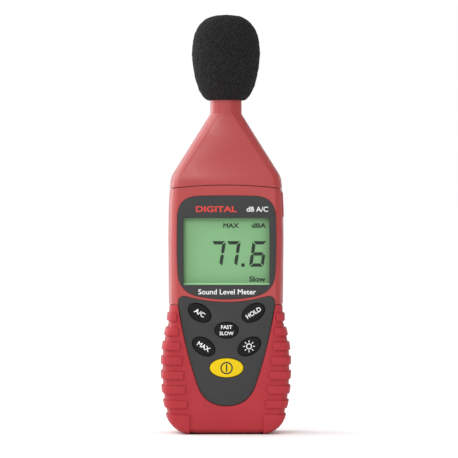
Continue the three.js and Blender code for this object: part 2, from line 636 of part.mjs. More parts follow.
function micLead() {
  return tube(MIC_LEAD_ROUTE, MIC_LEAD_RADIUS, 18);
}

function windscreen() {
  const [r, z0, z1] = [WINDSCREEN_RADIUS, WINDSCREEN_BOTTOM_Z, OVERALL_HEIGHT];
  const profile = new THREE.CurvePath();
  const corners = [
    [[8.2, z0], [14.9, z0 + 1.7], [r, WINDSCREEN_WIDEST_Z - 2], [r, WINDSCREEN_WIDEST_Z]],
    [[r, WINDSCREEN_WIDEST_Z], [r, z1 - 1.5], [7.6, z1], [0, z1]],
  ];
  for (const points of corners) {
    profile.add(new THREE.CubicBezierCurve(...points.map((point) => new THREE.Vector2(...point))));
  }
  const outside = profile.getPoints(9).map((p) => [p.x, p.y]);
  const bore = [
    [0, MIC_TOP_Z + 0.4], [MIC_RADIUS + 0.3, MIC_TOP_Z + 0.4],
    [MIC_RADIUS + 0.3, NECK_TOP_Z + 0.8], [NECK_RADIUS + 0.25, NECK_TOP_Z + 0.8],
  ];
  return turned([...bore, ...outside], 32);
}

// ---- Display stack ----
function displayBezel() {
  const frame = plate(bezelOutline(), BEZEL_FRONT, BEZEL_BACK, CORNER_STEPS);
  const opening = plate(lcdRectangle(0.5), -FAR, 0);
  return frame.subtract(opening);
}

function displayWindow() {
  return plate(lcdRectangle(PANE.corner, PANE.overlap), PANE.front, PANE.back);
}

// A plate of the display stack, from its own front face back to the board or to where it ends.
function stackPlate({ halfWidth, bottom, top, front }, back) {
  return box([-halfWidth, halfWidth], [front, back], [bottom, top]);
}

function lcdFrame() {
  const { halfWidth, bottom, top, wall } = LCD_FRAME;
  const outside = stackPlate(LCD_FRAME, BOARD_FRONT - 0.1);
  const inside = box([wall - halfWidth, halfWidth - wall], [-FAR, 0], [bottom + wall, top - wall]);
  return outside.subtract(inside);
}

function backlightLed() {
  const { left, right, bottom, top } = BACKLIGHT_LED;
  return box([left, right], [BACKLIGHT.front, BOARD_FRONT - 0.05], [bottom, top]);
}

// A rubber connector strip between the glass and the board.
function zebraStrip(bottom) {
  return stackPlate({ ...ZEBRA_STRIP, bottom, top: bottom + ZEBRA_STRIP.height }, BOARD_FRONT - 0.05);
}

// ---- Keypad ----
function keypadPanel() {
  const sheet = plate(panelOutline(), PANEL_FRONT, PANEL_BACK, CORNER_STEPS);
  const holes = KEYS.map((key) => plate(keyOutline(key, KEY_CLEARANCE), -FAR, 0, KEY_SEGMENTS));
  return sheet.subtract(joined(holes));
}

function keyCap(key) {
  const cap = plate(keyOutline(key), KEY_FRONT, KEY_CAP_BACK, KEY_SEGMENTS);
  const flange = plate(keyOutline(key, KEY_FLANGE.grow), KEY_FLANGE.front, KEY_FLANGE.back, KEY_SEGMENTS);
  const plunger = rodAlongY(KEY_PLUNGER.radius, KEY_PLUNGER.front, KEY_PLUNGER.back, key.x, key.z, 16);
  return joined([cap, flange, plunger]);
}

function aboveMat() {
  return box([-FAR, FAR], [-FAR, FAR], [MAT_TOP, 4 * FAR]);
}

function keypadMat() {
  const sheet = plate(panelOutline(-BOARD_INSET), MAT.front, MAT.back).subtract(aboveMat());
  return sheet.subtract(joined(KEYS.map(({ x, z }) => rodAlongY(MAT.holeRadius, -FAR, 0, x, z, 16))));
}

function domeSheet() {
  const sheet = plate(panelOutline(-BOARD_INSET - 0.2), DOME_SHEET_FRONT, BOARD_FRONT).subtract(aboveMat());
  const dome = ({ x, z }) => {
    const profile = DOME_PROFILE.map((point) => new THREE.Vector2(...point));
    return solid(new THREE.LatheGeometry(profile, 16).rotateX(Math.PI).translate(x, 0, z));
  };
  return joined([sheet, ...KEYS.map(dome)]);
}

// ---- Board and parts on it ----
function mainBoard() {
  const lower = plate(panelOutline(-BOARD_INSET), BOARD_FRONT, BOARD_BACK);
  const upper = box([-BOARD_HALF_WIDTH, BOARD_HALF_WIDTH], [BOARD_FRONT, BOARD_BACK], [61, BOARD_TOP]);
  const clear = box([-FAR, FAR], [-FAR, FAR], [-1, BOARD_BOTTOM]);
  const bossHoles = CASE_SCREWS_UPPER.map(([x, z]) => rodAlongY(BOSS_RADIUS + 0.4, -FAR, 0, x, z, 16));
  const screwHoles = BOARD_SCREWS.map(([x, z]) => rodAlongY(BOARD_SCREW_RADIUS + 0.3, -FAR, 0, x, z, 16));
  return lower.add(upper).subtract(joined([clear, ...bossHoles, ...screwHoles]));
}

// A small block standing on the back of the board.
function chip({ x, z, width, height, thick }) {
  return box([x - width / 2, x + width / 2], [ON_BOARD, ON_BOARD + thick], [z - height / 2, z + height / 2]);
}

function filterCapacitor() {
  return rodAlongY(CAPACITOR.radius, ON_BOARD, BOARD_BACK + CAPACITOR.height, CAPACITOR.x, CAPACITOR.z);
}

function trimmerBody() {
  const { left, right, back, halfHeight } = TRIMMER;
  return box([left, right], [ON_BOARD, back], [TRIMMER_Z - halfHeight, TRIMMER_Z + halfHeight]);
}

function trimmerRotor() {
  const { radius, left, right, slotFrom, slotHalfLength, slotHalfWidth } = ROTOR;
  const slot = box(
    [slotFrom, right + 1],
    [TRIMMER_Y - slotHalfLength, TRIMMER_Y + slotHalfLength],
    [TRIMMER_Z - slotHalfWidth, TRIMMER_Z + slotHalfWidth],
  );
  return rodAlongX(radius, left, right, TRIMMER_Y, TRIMMER_Z, 24).subtract(slot);
}

// The plug follows the side of the case, a little proud of it, with a stem into the access hole.
function calibrationPlug() {
  const skin = upperBody(PLUG.proud, GRIP_TOP + GAP, SEAM_CENTRE_Z);
  const leaf = skin.intersect(box([PLUG.inside, FAR], [PLUG.front, PLUG.back], [PLUG.bottom, PLUG.top]));
  return leaf.add(rodAlongX(PLUG_STEM.radius, PLUG_STEM.tip, PLUG.inside + 0.1, TRIMMER_Y, TRIMMER_Z));
}

// ---- Battery ----
function batteryCan() {
  const { halfWidth, front, back, bottom, top } = BATTERY;
  return box([-halfWidth, halfWidth], [front, back], [bottom, top]);
}

function batteryTerminal({ x, radius }) {
  const stud = rodAlongZ(radius, BATTERY.top, BATTERY.top + TERMINAL_HEIGHT, 20);
  return stud.translate([x, (BATTERY.front + BATTERY.back) / 2, 0]);
}

function batterySnap() {
  const bottom = BATTERY.top + SNAP.above;
  return box([-SNAP.halfWidth, SNAP.halfWidth], [SNAP.front, SNAP.back], [bottom, bottom + SNAP.thick]);
}

// A lead from the snap, out of the bay through its slot and down to the board.
function batteryLead(x) {
  const { radius, y } = BATTERY_LEAD;
  const start = BATTERY.top + SNAP.above + SNAP.thick + 0.4;
  const route = [[x, y, start], [x, y, BAY_TOP + 3], [x, 0, BAY_TOP + 5], [x, BOARD_BACK + 1, BAY_TOP + 4]];
  return tube(route, radius, 12);
}

// ---- Battery door ----
function doorTab(side) {
  const { x, halfWidth, front, back, reach } = DOOR_TAB;
  const across = [side * x - halfWidth, side * x + halfWidth];
  const tongue = box(across, [front, back], [DOOR.top - 3, DOOR.top + reach]);
  const root = box(across, [front, DOOR.front + 0.2], [DOOR.top - 3, DOOR.top - 0.4]);
  return tongue.add(root);
}

function batteryDoor() {
  const { halfWidth, bottom, top, front, back, corner } = DOOR;
  const leaf = plate(rectangle(halfWidth, bottom, top, corner), front, back);
  const screwHole = rodAlongY(SCREW_RADIUS + 0.25, -FAR, FAR, 0, DOOR_SCREW_Z);
  const headRecess = rodAlongY(SCREW_HEAD_RADIUS + 0.25, DOOR_HEAD[0] - 0.1, FAR, 0, DOOR_SCREW_Z);
  const grooves = [0, 1, 2, 3].map((i) => {
    const z = DOOR_GROOVES.lowest + i * DOOR_GROOVES.pitch;
    const across = [-DOOR_GROOVES.halfWidth, DOOR_GROOVES.halfWidth];
    return box(across, [DOOR_GROOVES.bottom, FAR], [z, z + DOOR_GROOVES.width]);
  });
  return joined([leaf, doorTab(-1), doorTab(1)]).subtract(joined([screwHole, headRecess, ...grooves]));
}

function doorPad() {
  const { halfWidth, bottom, top } = DOOR_PAD;
  return box([-halfWidth, halfWidth], [BATTERY.back + 0.3, DOOR.front - 0.05], [bottom, top]);
}

// ---- Fasteners and label ----
// A pan-head screw along Y with its head towards +Y and a crossed recess.
function screw([x, z], tip, [headFront, headBack], radius = SCREW_RADIUS, headRadius = SCREW_HEAD_RADIUS) {
  const shank = rodAlongY(radius, tip, headFront + 0.1, x, z, 12);
  const head = rodAlongY(headRadius, headFront, headBack, x, z, 20);
  const [arm, slot, deep] = [0.6 * headRadius, 0.13 * headRadius, headBack - 0.9];
  const cross = joined([
    box([x - arm, x + arm], [deep, FAR], [z - slot, z + slot]),
    box([x - slot, x + slot], [deep, FAR], [z - arm, z + arm]),
  ]);
  return shank.add(head).subtract(cross);
}

function tripodInsert() {
  const outside = rodAlongY(TRIPOD_INSERT_RADIUS, TRIPOD_INSERT_FRONT, TRIPOD_INSERT_BACK, 0, TRIPOD_Z, 24);
  return outside.subtract(rodAlongY(TRIPOD_HOLE_RADIUS, 0, FAR, 0, TRIPOD_Z, 24));
}

function boardScrew(at) {
  const head = [BOARD_BACK + 0.1, BOARD_BACK + 1.7];
  return screw(at, BOARD_SCREW_TIP, head, BOARD_SCREW_RADIUS, BOARD_SCREW_HEAD_RADIUS);
}

function rearLabel() {
  const { halfWidth, bottom, top, corner, thick } = LABEL;
  return plate(rectangle(halfWidth, bottom, top, corner), CASE_DEPTH + 0.02, CASE_DEPTH + 0.02 + thick);
}

// ---- The object ----
function material(color, roughness, metalness = 0) {
  return new THREE.MeshStandardMaterial({ color, roughness, metalness });
}

const MATERIALS = {
  hardRed: material(0xc23a3c, 0.45),
  softRed: material(0xb93a44, 0.7),
  darkGrey: material(0x464646, 0.6),
  keyBlack: material(0x2a2829, 0.65),
  keyYellow: material(0xf6d01f, 0.5),
  foam: material(0x262527, 0.95),
  clear: material(0xe8efe8, 0.1),
  lcdGreen: material(0x87b584, 0.4),
  whitePlastic: material(0xe6e6e0, 0.5),
  rubberGrey: material(0x6d6d6d, 0.8),
  boardGreen: material(0x1f5a38, 0.6),
  blackPlastic: material(0x1c1c1d, 0.5),
  steel: material(0xb8babd, 0.35, 1),
  brass: material(0xb99a4c, 0.35, 1),
  redWire: material(0xb02020, 0.5),
  label: material(0xc9c9c4, 0.5),
};

const meter = new THREE.Group();
function addPart(name, made, finish) {
  const mesh = new THREE.Mesh(geometryOf(made), MATERIALS[finish]);
  mesh.name = name;
  meter.add(mesh);
}

addPart("front_case", frontCase(), "hardRed");
addPart("rear_case", rearCase(), "hardRed");
addPart("front_grip", frontGrip(), "softRed");
addPart("rear_grip", rearGrip(), "softRed");
addPart("nose_cone", noseCone(), "hardRed");
addPart("windscreen", windscreen(), "foam");
addPart("mic_housing", micHousing(), "steel");
addPart("mic_grid", micGrid(), "steel");
addPart("mic_capsule", micCapsule(), "blackPlastic");
addPart("mic_grommet", micGrommet(), "rubberGrey");
addPart("mic_lead", micLead(), "blackPlastic");

addPart("display_bezel", displayBezel(), "darkGrey");
addPart("display_window", displayWindow(), "clear");
addPart("lcd_glass", stackPlate(LCD_GLASS, LCD_GLASS.back), "lcdGreen");
addPart("lcd_frame", lcdFrame(), "blackPlastic");
addPart("backlight_panel", stackPlate(BACKLIGHT, BOARD_FRONT - 0.3), "whitePlastic");
addPart("backlight_led", backlightLed(), "whitePlastic");
addPart("zebra_strip_upper", zebraStrip(ZEBRA_STRIP.upperZ), "rubberGrey");
addPart("zebra_strip_lower", zebraStrip(ZEBRA_STRIP.lowerZ), "rubberGrey");

addPart("keypad_panel", keypadPanel(), "darkGrey");
for (const key of KEYS) addPart(key.name, keyCap(key), key.name === "key_power" ? "keyYellow" : "keyBlack");
addPart("keypad_mat", keypadMat(), "rubberGrey");
addPart("dome_sheet", domeSheet(), "steel");

addPart("main_board", mainBoard(), "boardGreen");
for (const part of CHIPS) addPart(part.name, chip(part), part.finish);
addPart("filter_capacitor", filterCapacitor(), "blackPlastic");
addPart("trimmer_body", trimmerBody(), "blackPlastic");
addPart("trimmer_rotor", trimmerRotor(), "whitePlastic");
addPart("calibration_plug", calibrationPlug(), "softRed");

addPart("battery_can", batteryCan(), "steel");
addPart("battery_terminal_positive", batteryTerminal(TERMINALS.positive), "steel");
addPart("battery_terminal_negative", batteryTerminal(TERMINALS.negative), "steel");
addPart("battery_snap", batterySnap(), "blackPlastic");
addPart("battery_lead_red", batteryLead(-BATTERY_LEAD.x), "redWire");
addPart("battery_lead_black", batteryLead(BATTERY_LEAD.x), "blackPlastic");
addPart("battery_door", batteryDoor(), "softRed");
addPart("door_pad", doorPad(), "rubberGrey");
addPart("door_screw", screw([0, DOOR_SCREW_Z], DOOR_SCREW_TIP, DOOR_HEAD), "steel");

addPart("tripod_insert", tripodInsert(), "brass");
["left", "right"].forEach((side, i) => {
  addPart(`case_screw_upper_${side}`, screw(CASE_SCREWS_UPPER[i], CASE_SCREW_TIP, UPPER_HEAD), "steel");
  addPart(`case_screw_lower_${side}`, screw(CASE_SCREWS_LOWER[i], CASE_SCREW_TIP, LOWER_HEAD), "steel");
  addPart(`board_screw_${side}`, boardScrew(BOARD_SCREWS[i]), "steel");
});
addPart("rear_label", rearLabel(), "label");

export default meter;
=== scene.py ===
"""Handheld sound level meter: the visible surfaces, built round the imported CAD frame.

Metres in Blender, with the drawing dimensions below in millimetres. +Z is up and the display faces -Y.
"""

import json
import math

import bmesh
import bpy
from mathutils import Matrix, Vector, noise
from mathutils.bvhtree import BVHTree
from mathutils.geometry import delaunay_2d_cdt, tessellate_polygon

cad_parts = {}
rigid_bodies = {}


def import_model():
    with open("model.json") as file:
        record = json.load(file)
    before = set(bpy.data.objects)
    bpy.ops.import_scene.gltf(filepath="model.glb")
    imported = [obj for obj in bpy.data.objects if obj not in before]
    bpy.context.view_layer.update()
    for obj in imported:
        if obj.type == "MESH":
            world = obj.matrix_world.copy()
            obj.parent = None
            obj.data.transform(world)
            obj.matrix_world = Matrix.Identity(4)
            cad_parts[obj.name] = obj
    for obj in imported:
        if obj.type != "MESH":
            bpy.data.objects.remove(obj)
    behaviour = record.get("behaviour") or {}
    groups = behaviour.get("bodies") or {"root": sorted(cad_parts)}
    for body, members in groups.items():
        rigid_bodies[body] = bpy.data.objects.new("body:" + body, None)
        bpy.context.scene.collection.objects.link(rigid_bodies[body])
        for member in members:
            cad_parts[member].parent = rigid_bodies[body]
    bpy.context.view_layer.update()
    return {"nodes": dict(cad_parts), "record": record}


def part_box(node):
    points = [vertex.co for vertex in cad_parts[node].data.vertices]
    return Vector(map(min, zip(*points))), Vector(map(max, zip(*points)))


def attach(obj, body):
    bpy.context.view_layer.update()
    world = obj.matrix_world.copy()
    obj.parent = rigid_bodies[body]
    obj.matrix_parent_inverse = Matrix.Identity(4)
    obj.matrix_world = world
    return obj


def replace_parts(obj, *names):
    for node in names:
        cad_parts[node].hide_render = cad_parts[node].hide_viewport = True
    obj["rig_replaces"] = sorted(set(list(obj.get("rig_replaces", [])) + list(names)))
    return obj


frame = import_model()

# ---- Drawing dimensions, in millimetres ----
MM = 0.001
SLOT_OF = {part["node"]: part["material_slot"] for part in frame["record"]["subparts"]}
BODY_OF = {node: body for body, nodes in frame["record"]["behaviour"]["bodies"].items() for node in nodes}

BOW_STEPS = 24  # straight pieces in a bowed edge
CORNER_STEPS = 14  # straight pieces in a rounded corner
# Corners of an outline, anticlockwise from the lower left, as (x, z, trim, bow of the edge after it).
BEZEL_CORNERS = [
    (-22.5, 68.05, 8.25, 3.8),
    (22.5, 68.05, 8.25, 0.85),
    (22.8, 112.7, 9.1, 0.55),
    (-22.8, 112.7, 9.1, 0.85),
]
PANEL_CORNERS = [
    (-10, 13.65, 9.9, 0), (10, 13.65, 9.9, 1.8), (23.6, 66.95, 5.8, -4.25), (-23.6, 66.95, 5.8, 1.8),
]
LCD_WINDOW = (20.4, 71.0, 102.7)  # half-width, bottom, top
SMALL_KEY = (5.8, 3.8)  # half-axes of an oval key
KEYS = {  # centre, half-axes and turn in degrees
    "key_ac": (-12.75, 57.75, SMALL_KEY, -32),
    "key_hold": (12.75, 57.75, SMALL_KEY, 32),
    "key_fast_slow": (0, 49.5, (5.5, 3.7), 0),
    "key_max": (-10.85, 41.75, SMALL_KEY, -32),
    "key_light": (10.85, 41.75, SMALL_KEY, 32),
    "key_power": (0, 31.65, (7.95, 4.5), 0),
}
KEY_CLEARANCE = 0.2
KEY_SIDES = 72
KEY_RIM = 0.45  # radius of the rounded edge of a key's top
KEY_RIM_STEPS = 5
WELD = 0.002  # vertices closer than this are one
FLAT_DEGREES = 0.3  # facets that meet at less than this are one
SHARP_DEGREES = 25  # edges that turn more than this are rounded
CLEAR_OF_EDGE = 0.05
TRIM_SEAM = 0.5  # case edges this close to the bezel or the keypad panel stay sharp
INK_DEPTH = 0.02  # half of it sunk in the surface below
FOAM_SIDES = 200

CAMERA_DISTANCE = 1.7
CAMERA_AZIMUTH = -1.0
CAMERA_TARGET = (0.00146, 0, 0.0975)
VIEW_WIDTH = 0.2195  # width of the picture at the target
SENSOR_WIDTH = 36
SUBJECT = Vector((0, 0, 0.13))  # what the side lights point at
FLOOR_REACH = 200000


# ---- Materials ----
class Finish:
    """A material of one Principled shader whose inputs come from textures in the piece's own space."""

    def __init__(self, name, **sockets):
        self.material = bpy.data.materials.new(name)
        self.material.use_nodes = True
        self.tree = self.material.node_tree
        self.shader = self.tree.nodes["Principled BSDF"]
        self.space = self.tree.nodes.new("ShaderNodeTexCoord").outputs["Object"]
        for socket, value in sockets.items():
            self.shader.inputs[socket.replace("_", " ")].default_value = value

    def node(self, kind, inputs=None, **settings):
        made = self.tree.nodes.new(kind)
        for setting, value in settings.items():
            setattr(made, setting, value)
        for socket, value in (inputs or {}).items():
            if isinstance(value, bpy.types.NodeSocket):
                self.tree.links.new(value, made.inputs[socket])
            else:
                made.inputs[socket].default_value = value
        return made

    def noise(self, size_mm, detail=3.0, roughness=0.55):
        """Smooth random values from 0 to 1 with features of about this size."""
        inputs = {"Vector": self.space, "Scale": 1 / (size_mm * MM), "Detail": detail, "Roughness": roughness}
        return self.node("ShaderNodeTexNoise", inputs).outputs["Fac"]

    def cells(self, size_mm, feature="F1"):
        """Distance within cells of about this size."""
        inputs = {"Vector": self.space, "Scale": 1 / (size_mm * MM)}
        return self.node("ShaderNodeTexVoronoi", inputs, feature=feature).outputs["Distance"]

    def ramp(self, value, low, high, out_low, out_high):
        inputs = {"Value": value, "From Min": low, "From Max": high, "To Min": out_low, "To Max": out_high}
        return self.node("ShaderNodeMapRange", inputs).outputs["Result"]

    def mix(self, share, first, second):
        mixed = self.node("ShaderNodeMix", data_type="RGBA")
        usable = [socket for socket in mixed.inputs if socket.type in ("RGBA", "VALUE") and socket.enabled]
        for name, value in (("Factor", share), ("A", first), ("B", second)):
            target = next(socket for socket in usable if socket.name == name)
            if isinstance(value, bpy.types.NodeSocket):
                self.tree.links.new(value, target)
            else:
                target.default_value = value
        return next(socket for socket in mixed.outputs if socket.type == "RGBA" and socket.enabled)

    def feed(self, socket, value):
        self.tree.links.new(value, self.shader.inputs[socket])

    def bump(self, *layers):
        """Stacks bumps of (height, depth in mm)."""
        normal = None
        for height, depth_mm in layers:
            inputs = {"Height": height, "Distance": depth_mm * MM}
            if normal:
                inputs["Normal"] = normal
            normal = self.node("ShaderNodeBump", inputs).outputs["Normal"]
        self.feed("Normal", normal)


def rgb(red, green, blue, shade=1.0):
    """A colour given as it shows on a screen, from 0 to 255, as the linear values that a shader takes."""

    def linear(value):
        share = value / 255
        return share / 12.92 if share <= 0.04045 else ((share + 0.055) / 1.055) ** 2.4

    return (*(shade * linear(value) for value in (red, green, blue)), 1.0)


def shaded(color, factor):
    return (*(min(1.0, channel * factor) for channel in color[:3]), 1.0)


def moulded(name, color, roughness, grain_mm=0.35, grain_depth=0.012, mottle=0.07, **sockets):
    """Moulded plastic or rubber: a fine grain, a slow drift of colour, and a patchy gloss from handling."""
    finish = Finish(name, **sockets)
    drift = finish.noise(18)
    finish.feed("Base Color", finish.mix(drift, shaded(color, 1 - mottle), shaded(color, 1 + mottle)))
    finish.feed("Roughness", finish.ramp(finish.noise(7, 5), 0.3, 0.7, roughness - 0.06, roughness + 0.06))
    finish.bump((finish.noise(grain_mm, 2), grain_depth), (finish.noise(9, 2), 0.02))
    return finish.material


def metal(name, color, roughness, brush_mm=0.06, grain_depth=0.004):
    finish = Finish(name, Metallic=1.0)
    stretched = finish.node("ShaderNodeMapping", {"Vector": finish.space, "Scale": (1.0, 1.0, 0.06)})
    inputs = {"Vector": stretched.outputs["Vector"], "Scale": 1 / (brush_mm * MM), "Detail": 3.0}
    brushed = finish.node("ShaderNodeTexNoise", inputs).outputs["Fac"]
    finish.feed("Base Color", finish.mix(finish.noise(4), shaded(color, 0.85), shaded(color, 1.05)))
    finish.feed("Roughness", finish.ramp(brushed, 0.3, 0.7, roughness - 0.08, roughness + 0.1))
    finish.bump((brushed, grain_depth))
    return finish.material


def foam(name):
    """Open-cell foam: lighter struts, with painted shade in the pores between them."""
    finish = Finish(name, Roughness=0.95, Specular_IOR_Level=0.2)
    pores = finish.cells(0.75)
    fine = finish.cells(0.33)
    clumps = finish.noise(2.2, 4)
    # Painted shade: the colour darkens towards each cell's middle, where the bump sinks the pores.
    pore_shade_mask = finish.ramp(pores, 0.15, 0.75, 0.0, 1.0)
    shade = finish.mix(pore_shade_mask, rgb(11, 10, 11), rgb(41, 39, 41))
    finish.feed("Base Color", finish.mix(finish.ramp(clumps, 0.35, 0.7, 0.0, 0.5), shade, rgb(18, 17, 18)))
    finish.bump((pores, 0.35), (fine, 0.15), (clumps, 0.3))
    return finish.material


def clear_plastic(name):
    finish = Finish(name, Alpha=0.1, IOR=1.49)
    finish.feed("Base Color", finish.mix(finish.noise(15), rgb(16, 20, 17), rgb(20, 24, 21)))
    finish.feed("Roughness", finish.ramp(finish.noise(6, 4), 0.3, 0.7, 0.03, 0.1))
    finish.bump((finish.noise(20, 1), 0.01))
    return finish.material


def lcd_green(name, green):
    """A reflective display: satin polariser over a green backing."""
    finish = Finish(name, Specular_IOR_Level=0.4)
    finish.feed("Base Color", finish.mix(finish.noise(16, 2), shaded(green, 0.96), shaded(green, 1.04)))
    finish.feed("Roughness", finish.ramp(finish.noise(3, 4), 0.3, 0.7, 0.3, 0.38))
    finish.bump((finish.noise(0.12, 1), 0.002))
    return finish.material


def circuit_board(name):
    """Solder mask with darker copper tracks under it."""
    finish = Finish(name, Specular_IOR_Level=0.6)
    turned = finish.node("ShaderNodeMapping", {"Vector": finish.space, "Rotation": (math.pi / 2, 0, 0)})
    tracks = finish.node(
        "ShaderNodeTexBrick",
        {
            "Vector": turned.outputs[0],
            "Scale": 420.0,
            "Color1": rgb(24, 88, 54),
            "Color2": rgb(30, 104, 62),
            "Mortar": rgb(18, 70, 42),
            "Mortar Size": 0.035,
            "Brick Width": 5.5,
            "Row Height": 0.2,
        },
        offset=0.31,
        offset_frequency=3,
    )
    finish.feed("Base Color", tracks.outputs["Color"])
    finish.feed("Roughness", finish.ramp(finish.noise(3), 0.3, 0.7, 0.3, 0.5))
    finish.bump((tracks.outputs["Fac"], 0.03))
    return finish.material


def printed_ink(name, color):
    """Screen-printed ink, a little uneven in cover."""
    finish = Finish(name)
    finish.feed("Base Color", finish.mix(finish.noise(0.6, 3), shaded(color, 0.9), color))
    finish.feed("Roughness", finish.ramp(finish.noise(2), 0.3, 0.7, 0.45, 0.6))
    return finish.material


MATERIALS = {
    "hard_red": moulded(
        "hard_red", rgb(162, 42, 41), 0.36, grain_mm=0.5, grain_depth=0.01, Specular_IOR_Level=0.75
    ),
    "soft_red": moulded(
        "soft_red", rgb(165, 37, 46), 0.6, grain_mm=0.3, grain_depth=0.03, mottle=0.1, Specular_IOR_Level=0.35
    ),
    "dark_grey": moulded(
        "dark_grey", rgb(48, 48, 48), 0.55,
        grain_mm=0.28, grain_depth=0.02, mottle=0.08, Specular_IOR_Level=0.35,
    ),
    "key_black": moulded(
        "key_black", rgb(14, 13, 14), 0.6, grain_mm=0.25, grain_depth=0.012, Specular_IOR_Level=0.2
    ),
    "key_yellow": moulded(
        "key_yellow", rgb(220, 188, 3), 0.5,
        grain_mm=0.25, grain_depth=0.01, mottle=0.03, Specular_IOR_Level=0.2,
    ),
    "foam": foam("foam"),
    "clear_plastic": clear_plastic("clear_plastic"),
    "lcd_green": lcd_green("lcd_green", rgb(146, 203, 144)),
    "white_plastic": moulded("white_plastic", rgb(228, 228, 222), 0.45),
    "grey_rubber": moulded("grey_rubber", rgb(110, 110, 110), 0.75, grain_depth=0.02),
    "board_green": circuit_board("board_green"),
    "black_plastic": moulded("black_plastic", rgb(30, 30, 31), 0.5),
    "steel": metal("steel", rgb(190, 192, 195), 0.32),
    "brass": metal("brass", rgb(196, 160, 84), 0.3),
    "red_wire": moulded("red_wire", rgb(180, 30, 30), 0.4, grain_depth=0.004),
    "label": moulded("label", rgb(205, 205, 200), 0.5, grain_mm=0.15, grain_depth=0.004),
}
INK_WHITE = printed_ink("ink_white", rgb(236, 236, 236))
INK_RED = printed_ink("ink_red", rgb(206, 52, 44))
INK_DARK = printed_ink("ink_dark", rgb(30, 26, 12))
SEGMENT_INK = printed_ink("segment_ink", rgb(20, 44, 28))
INK_GREY = printed_ink("ink_grey", rgb(60, 60, 62))
WRAP_BLUE = moulded("wrap_blue", rgb(24, 44, 92), 0.35, grain_mm=0.2, grain_depth=0.003)
# A brighter copy of the display's green: a painted highlight for the lit lower edge of the window's recess.
LEDGE_HIGHLIGHT_GREEN = lcd_green("ledge_highlight_green", rgb(186, 246, 182))


# ---- Pieces ----
def placed(name, data):
    """A new object in the scene."""
    piece = bpy.data.objects.new(name, data)
    bpy.context.scene.collection.objects.link(piece)
    return piece


def shape_piece(name, shape):
    """A new object from an edited shape, which is used up."""
    mesh = bpy.data.meshes.new(name)
    shape.to_mesh(mesh)
    shape.free()
    return placed(name, mesh)


def mesh_piece(name, points, faces):
    """A new object from points in millimetres."""
    mesh = bpy.data.meshes.new(name)
    mesh.from_pydata([[MM * value for value in point] for point in points], [], faces)
    return placed(name, mesh)


def dress(piece, node, material=None, replaced=True, smooth_degrees=30):
    """Gives a piece its finish and its body, both those of a CAD node, and lets it stand for that node."""
    slot = SLOT_OF[node]
    piece.data.materials.clear()
    piece.data.materials.append(material or MATERIALS[slot])
    piece.data.shade_smooth()
    piece.data.set_sharp_from_angle(angle=math.radians(smooth_degrees))
    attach(piece, BODY_OF[node])
    if replaced:
        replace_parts(piece, node)


def joined_tree(nodes):
    """CAD solids in one search tree."""
    together = bmesh.new()
    for node in nodes:
        together.from_mesh(frame["nodes"][node].data)
    tree = BVHTree.FromBMesh(together)
    together.free()
    return tree


ASSEMBLY = joined_tree(frame["nodes"])
TRIM = joined_tree(["display_bezel", "keypad_panel"])


def exposed(edge):
    """True where nothing of the assembled meter stands in front of an edge, and it doesn't frame the trim."""
    outwards = sum((face.normal for face in edge.link_faces), Vector()).normalized()
    middle = (edge.verts[0].co + edge.verts[1].co) / 2
    if TRIM.find_nearest(middle, TRIM_SEAM * MM)[0]:
        return False
    return ASSEMBLY.ray_cast(middle + outwards * CLEAR_OF_EDGE * MM, outwards)[0] is None


def refined(node, width_mm, segments=2, only_exposed=False, flat_sides=False):
    """A copy of a CAD solid with its flat facets merged and its outer edges rounded, its sides shaded flat
    up to those edges when asked."""
    shape = bmesh.new()
    shape.from_mesh(frame["nodes"][node].data)
    bmesh.ops.remove_doubles(shape, verts=shape.verts, dist=WELD * MM)
    flat = math.radians(FLAT_DEGREES)
    bmesh.ops.dissolve_limit(shape, angle_limit=flat, verts=shape.verts, edges=shape.edges)
    shape.normal_update()
    chosen = [
        edge
        for edge in shape.edges
        if edge.calc_face_angle_signed() > math.radians(SHARP_DEGREES) and (not only_exposed or exposed(edge))
    ]
    ends = {vertex for edge in chosen for vertex in edge.verts}
    bmesh.ops.bevel(
        shape,
        geom=chosen + list(ends),
        offset=width_mm * MM,
        offset_type="OFFSET",
        segments=segments,
        profile=0.5,
        affect="EDGES",
        clamp_overlap=False,
    )
    piece = shape_piece(node + "_shell", shape)
    dress(piece, node)
    if flat_sides:
        piece.modifiers.new("weighted_normals", "WEIGHTED_NORMAL").keep_sharp = True


def rings_piece(name, rings):
    """A solid with a skin over rings with equal numbers of points, closed by the first and the last ring."""
    count = len(rings[0])
    faces = [tuple(reversed(range(count))), tuple(range((len(rings) - 1) * count, len(rings) * count))]
    for i in range(len(rings) - 1):
        here, there = i * count, (i + 1) * count
        for j in range(count):
            k = (j + 1) % count
            faces.append((here + j, here + k, there + k, there + j))
    piece = mesh_piece(name, [point for ring in rings for point in ring], faces)
    face_outwards(piece)
    return piece


# ---- Outlines on the front ----
def outline(corners, grow=0.0):
    """A closed outline through corners of (x, z, trim, bow): each corner is rounded over its trim length,
    and the edge after it bows outwards by bow at its middle."""
    middle = [sum(corner[axis] for corner in corners) / len(corners) for axis in (0, 1)]
    grown = []
    for x, z, trim, bow in corners:
        x += math.copysign(grow, x - middle[0])
        z += math.copysign(grow, z - middle[1])
        grown.append((x, z, max(0.0, trim + grow), bow))

    def span(i):
        start, end = Vector(grown[i][:2]), Vector(grown[(i + 1) % len(grown)][:2])
        return start, (end - start).normalized(), (end - start).length

    def edge_point(i, distance):
        start, along, length = span(i)
        share = distance / length
        bulge = 4 * grown[i][3] * share * (1 - share)
        return start + along * distance + Vector((along.y, -along.x)) * bulge

    points = []
    for i, (x, z, trim, bow) in enumerate(grown):
        before = (i - 1) % len(grown)
        start, end = edge_point(before, span(before)[2] - trim), edge_point(i, trim)
        for step in range(CORNER_STEPS + 1):
            t = step / CORNER_STEPS
            points.append((1 - t) ** 2 * start + 2 * t * (1 - t) * Vector((x, z)) + t * t * end)
        last = span(i)[2] - grown[(i + 1) % len(grown)][2]
        for step in range(1, BOW_STEPS if bow else 1):
            points.append(edge_point(i, trim + (last - trim) * step / BOW_STEPS))
    return points


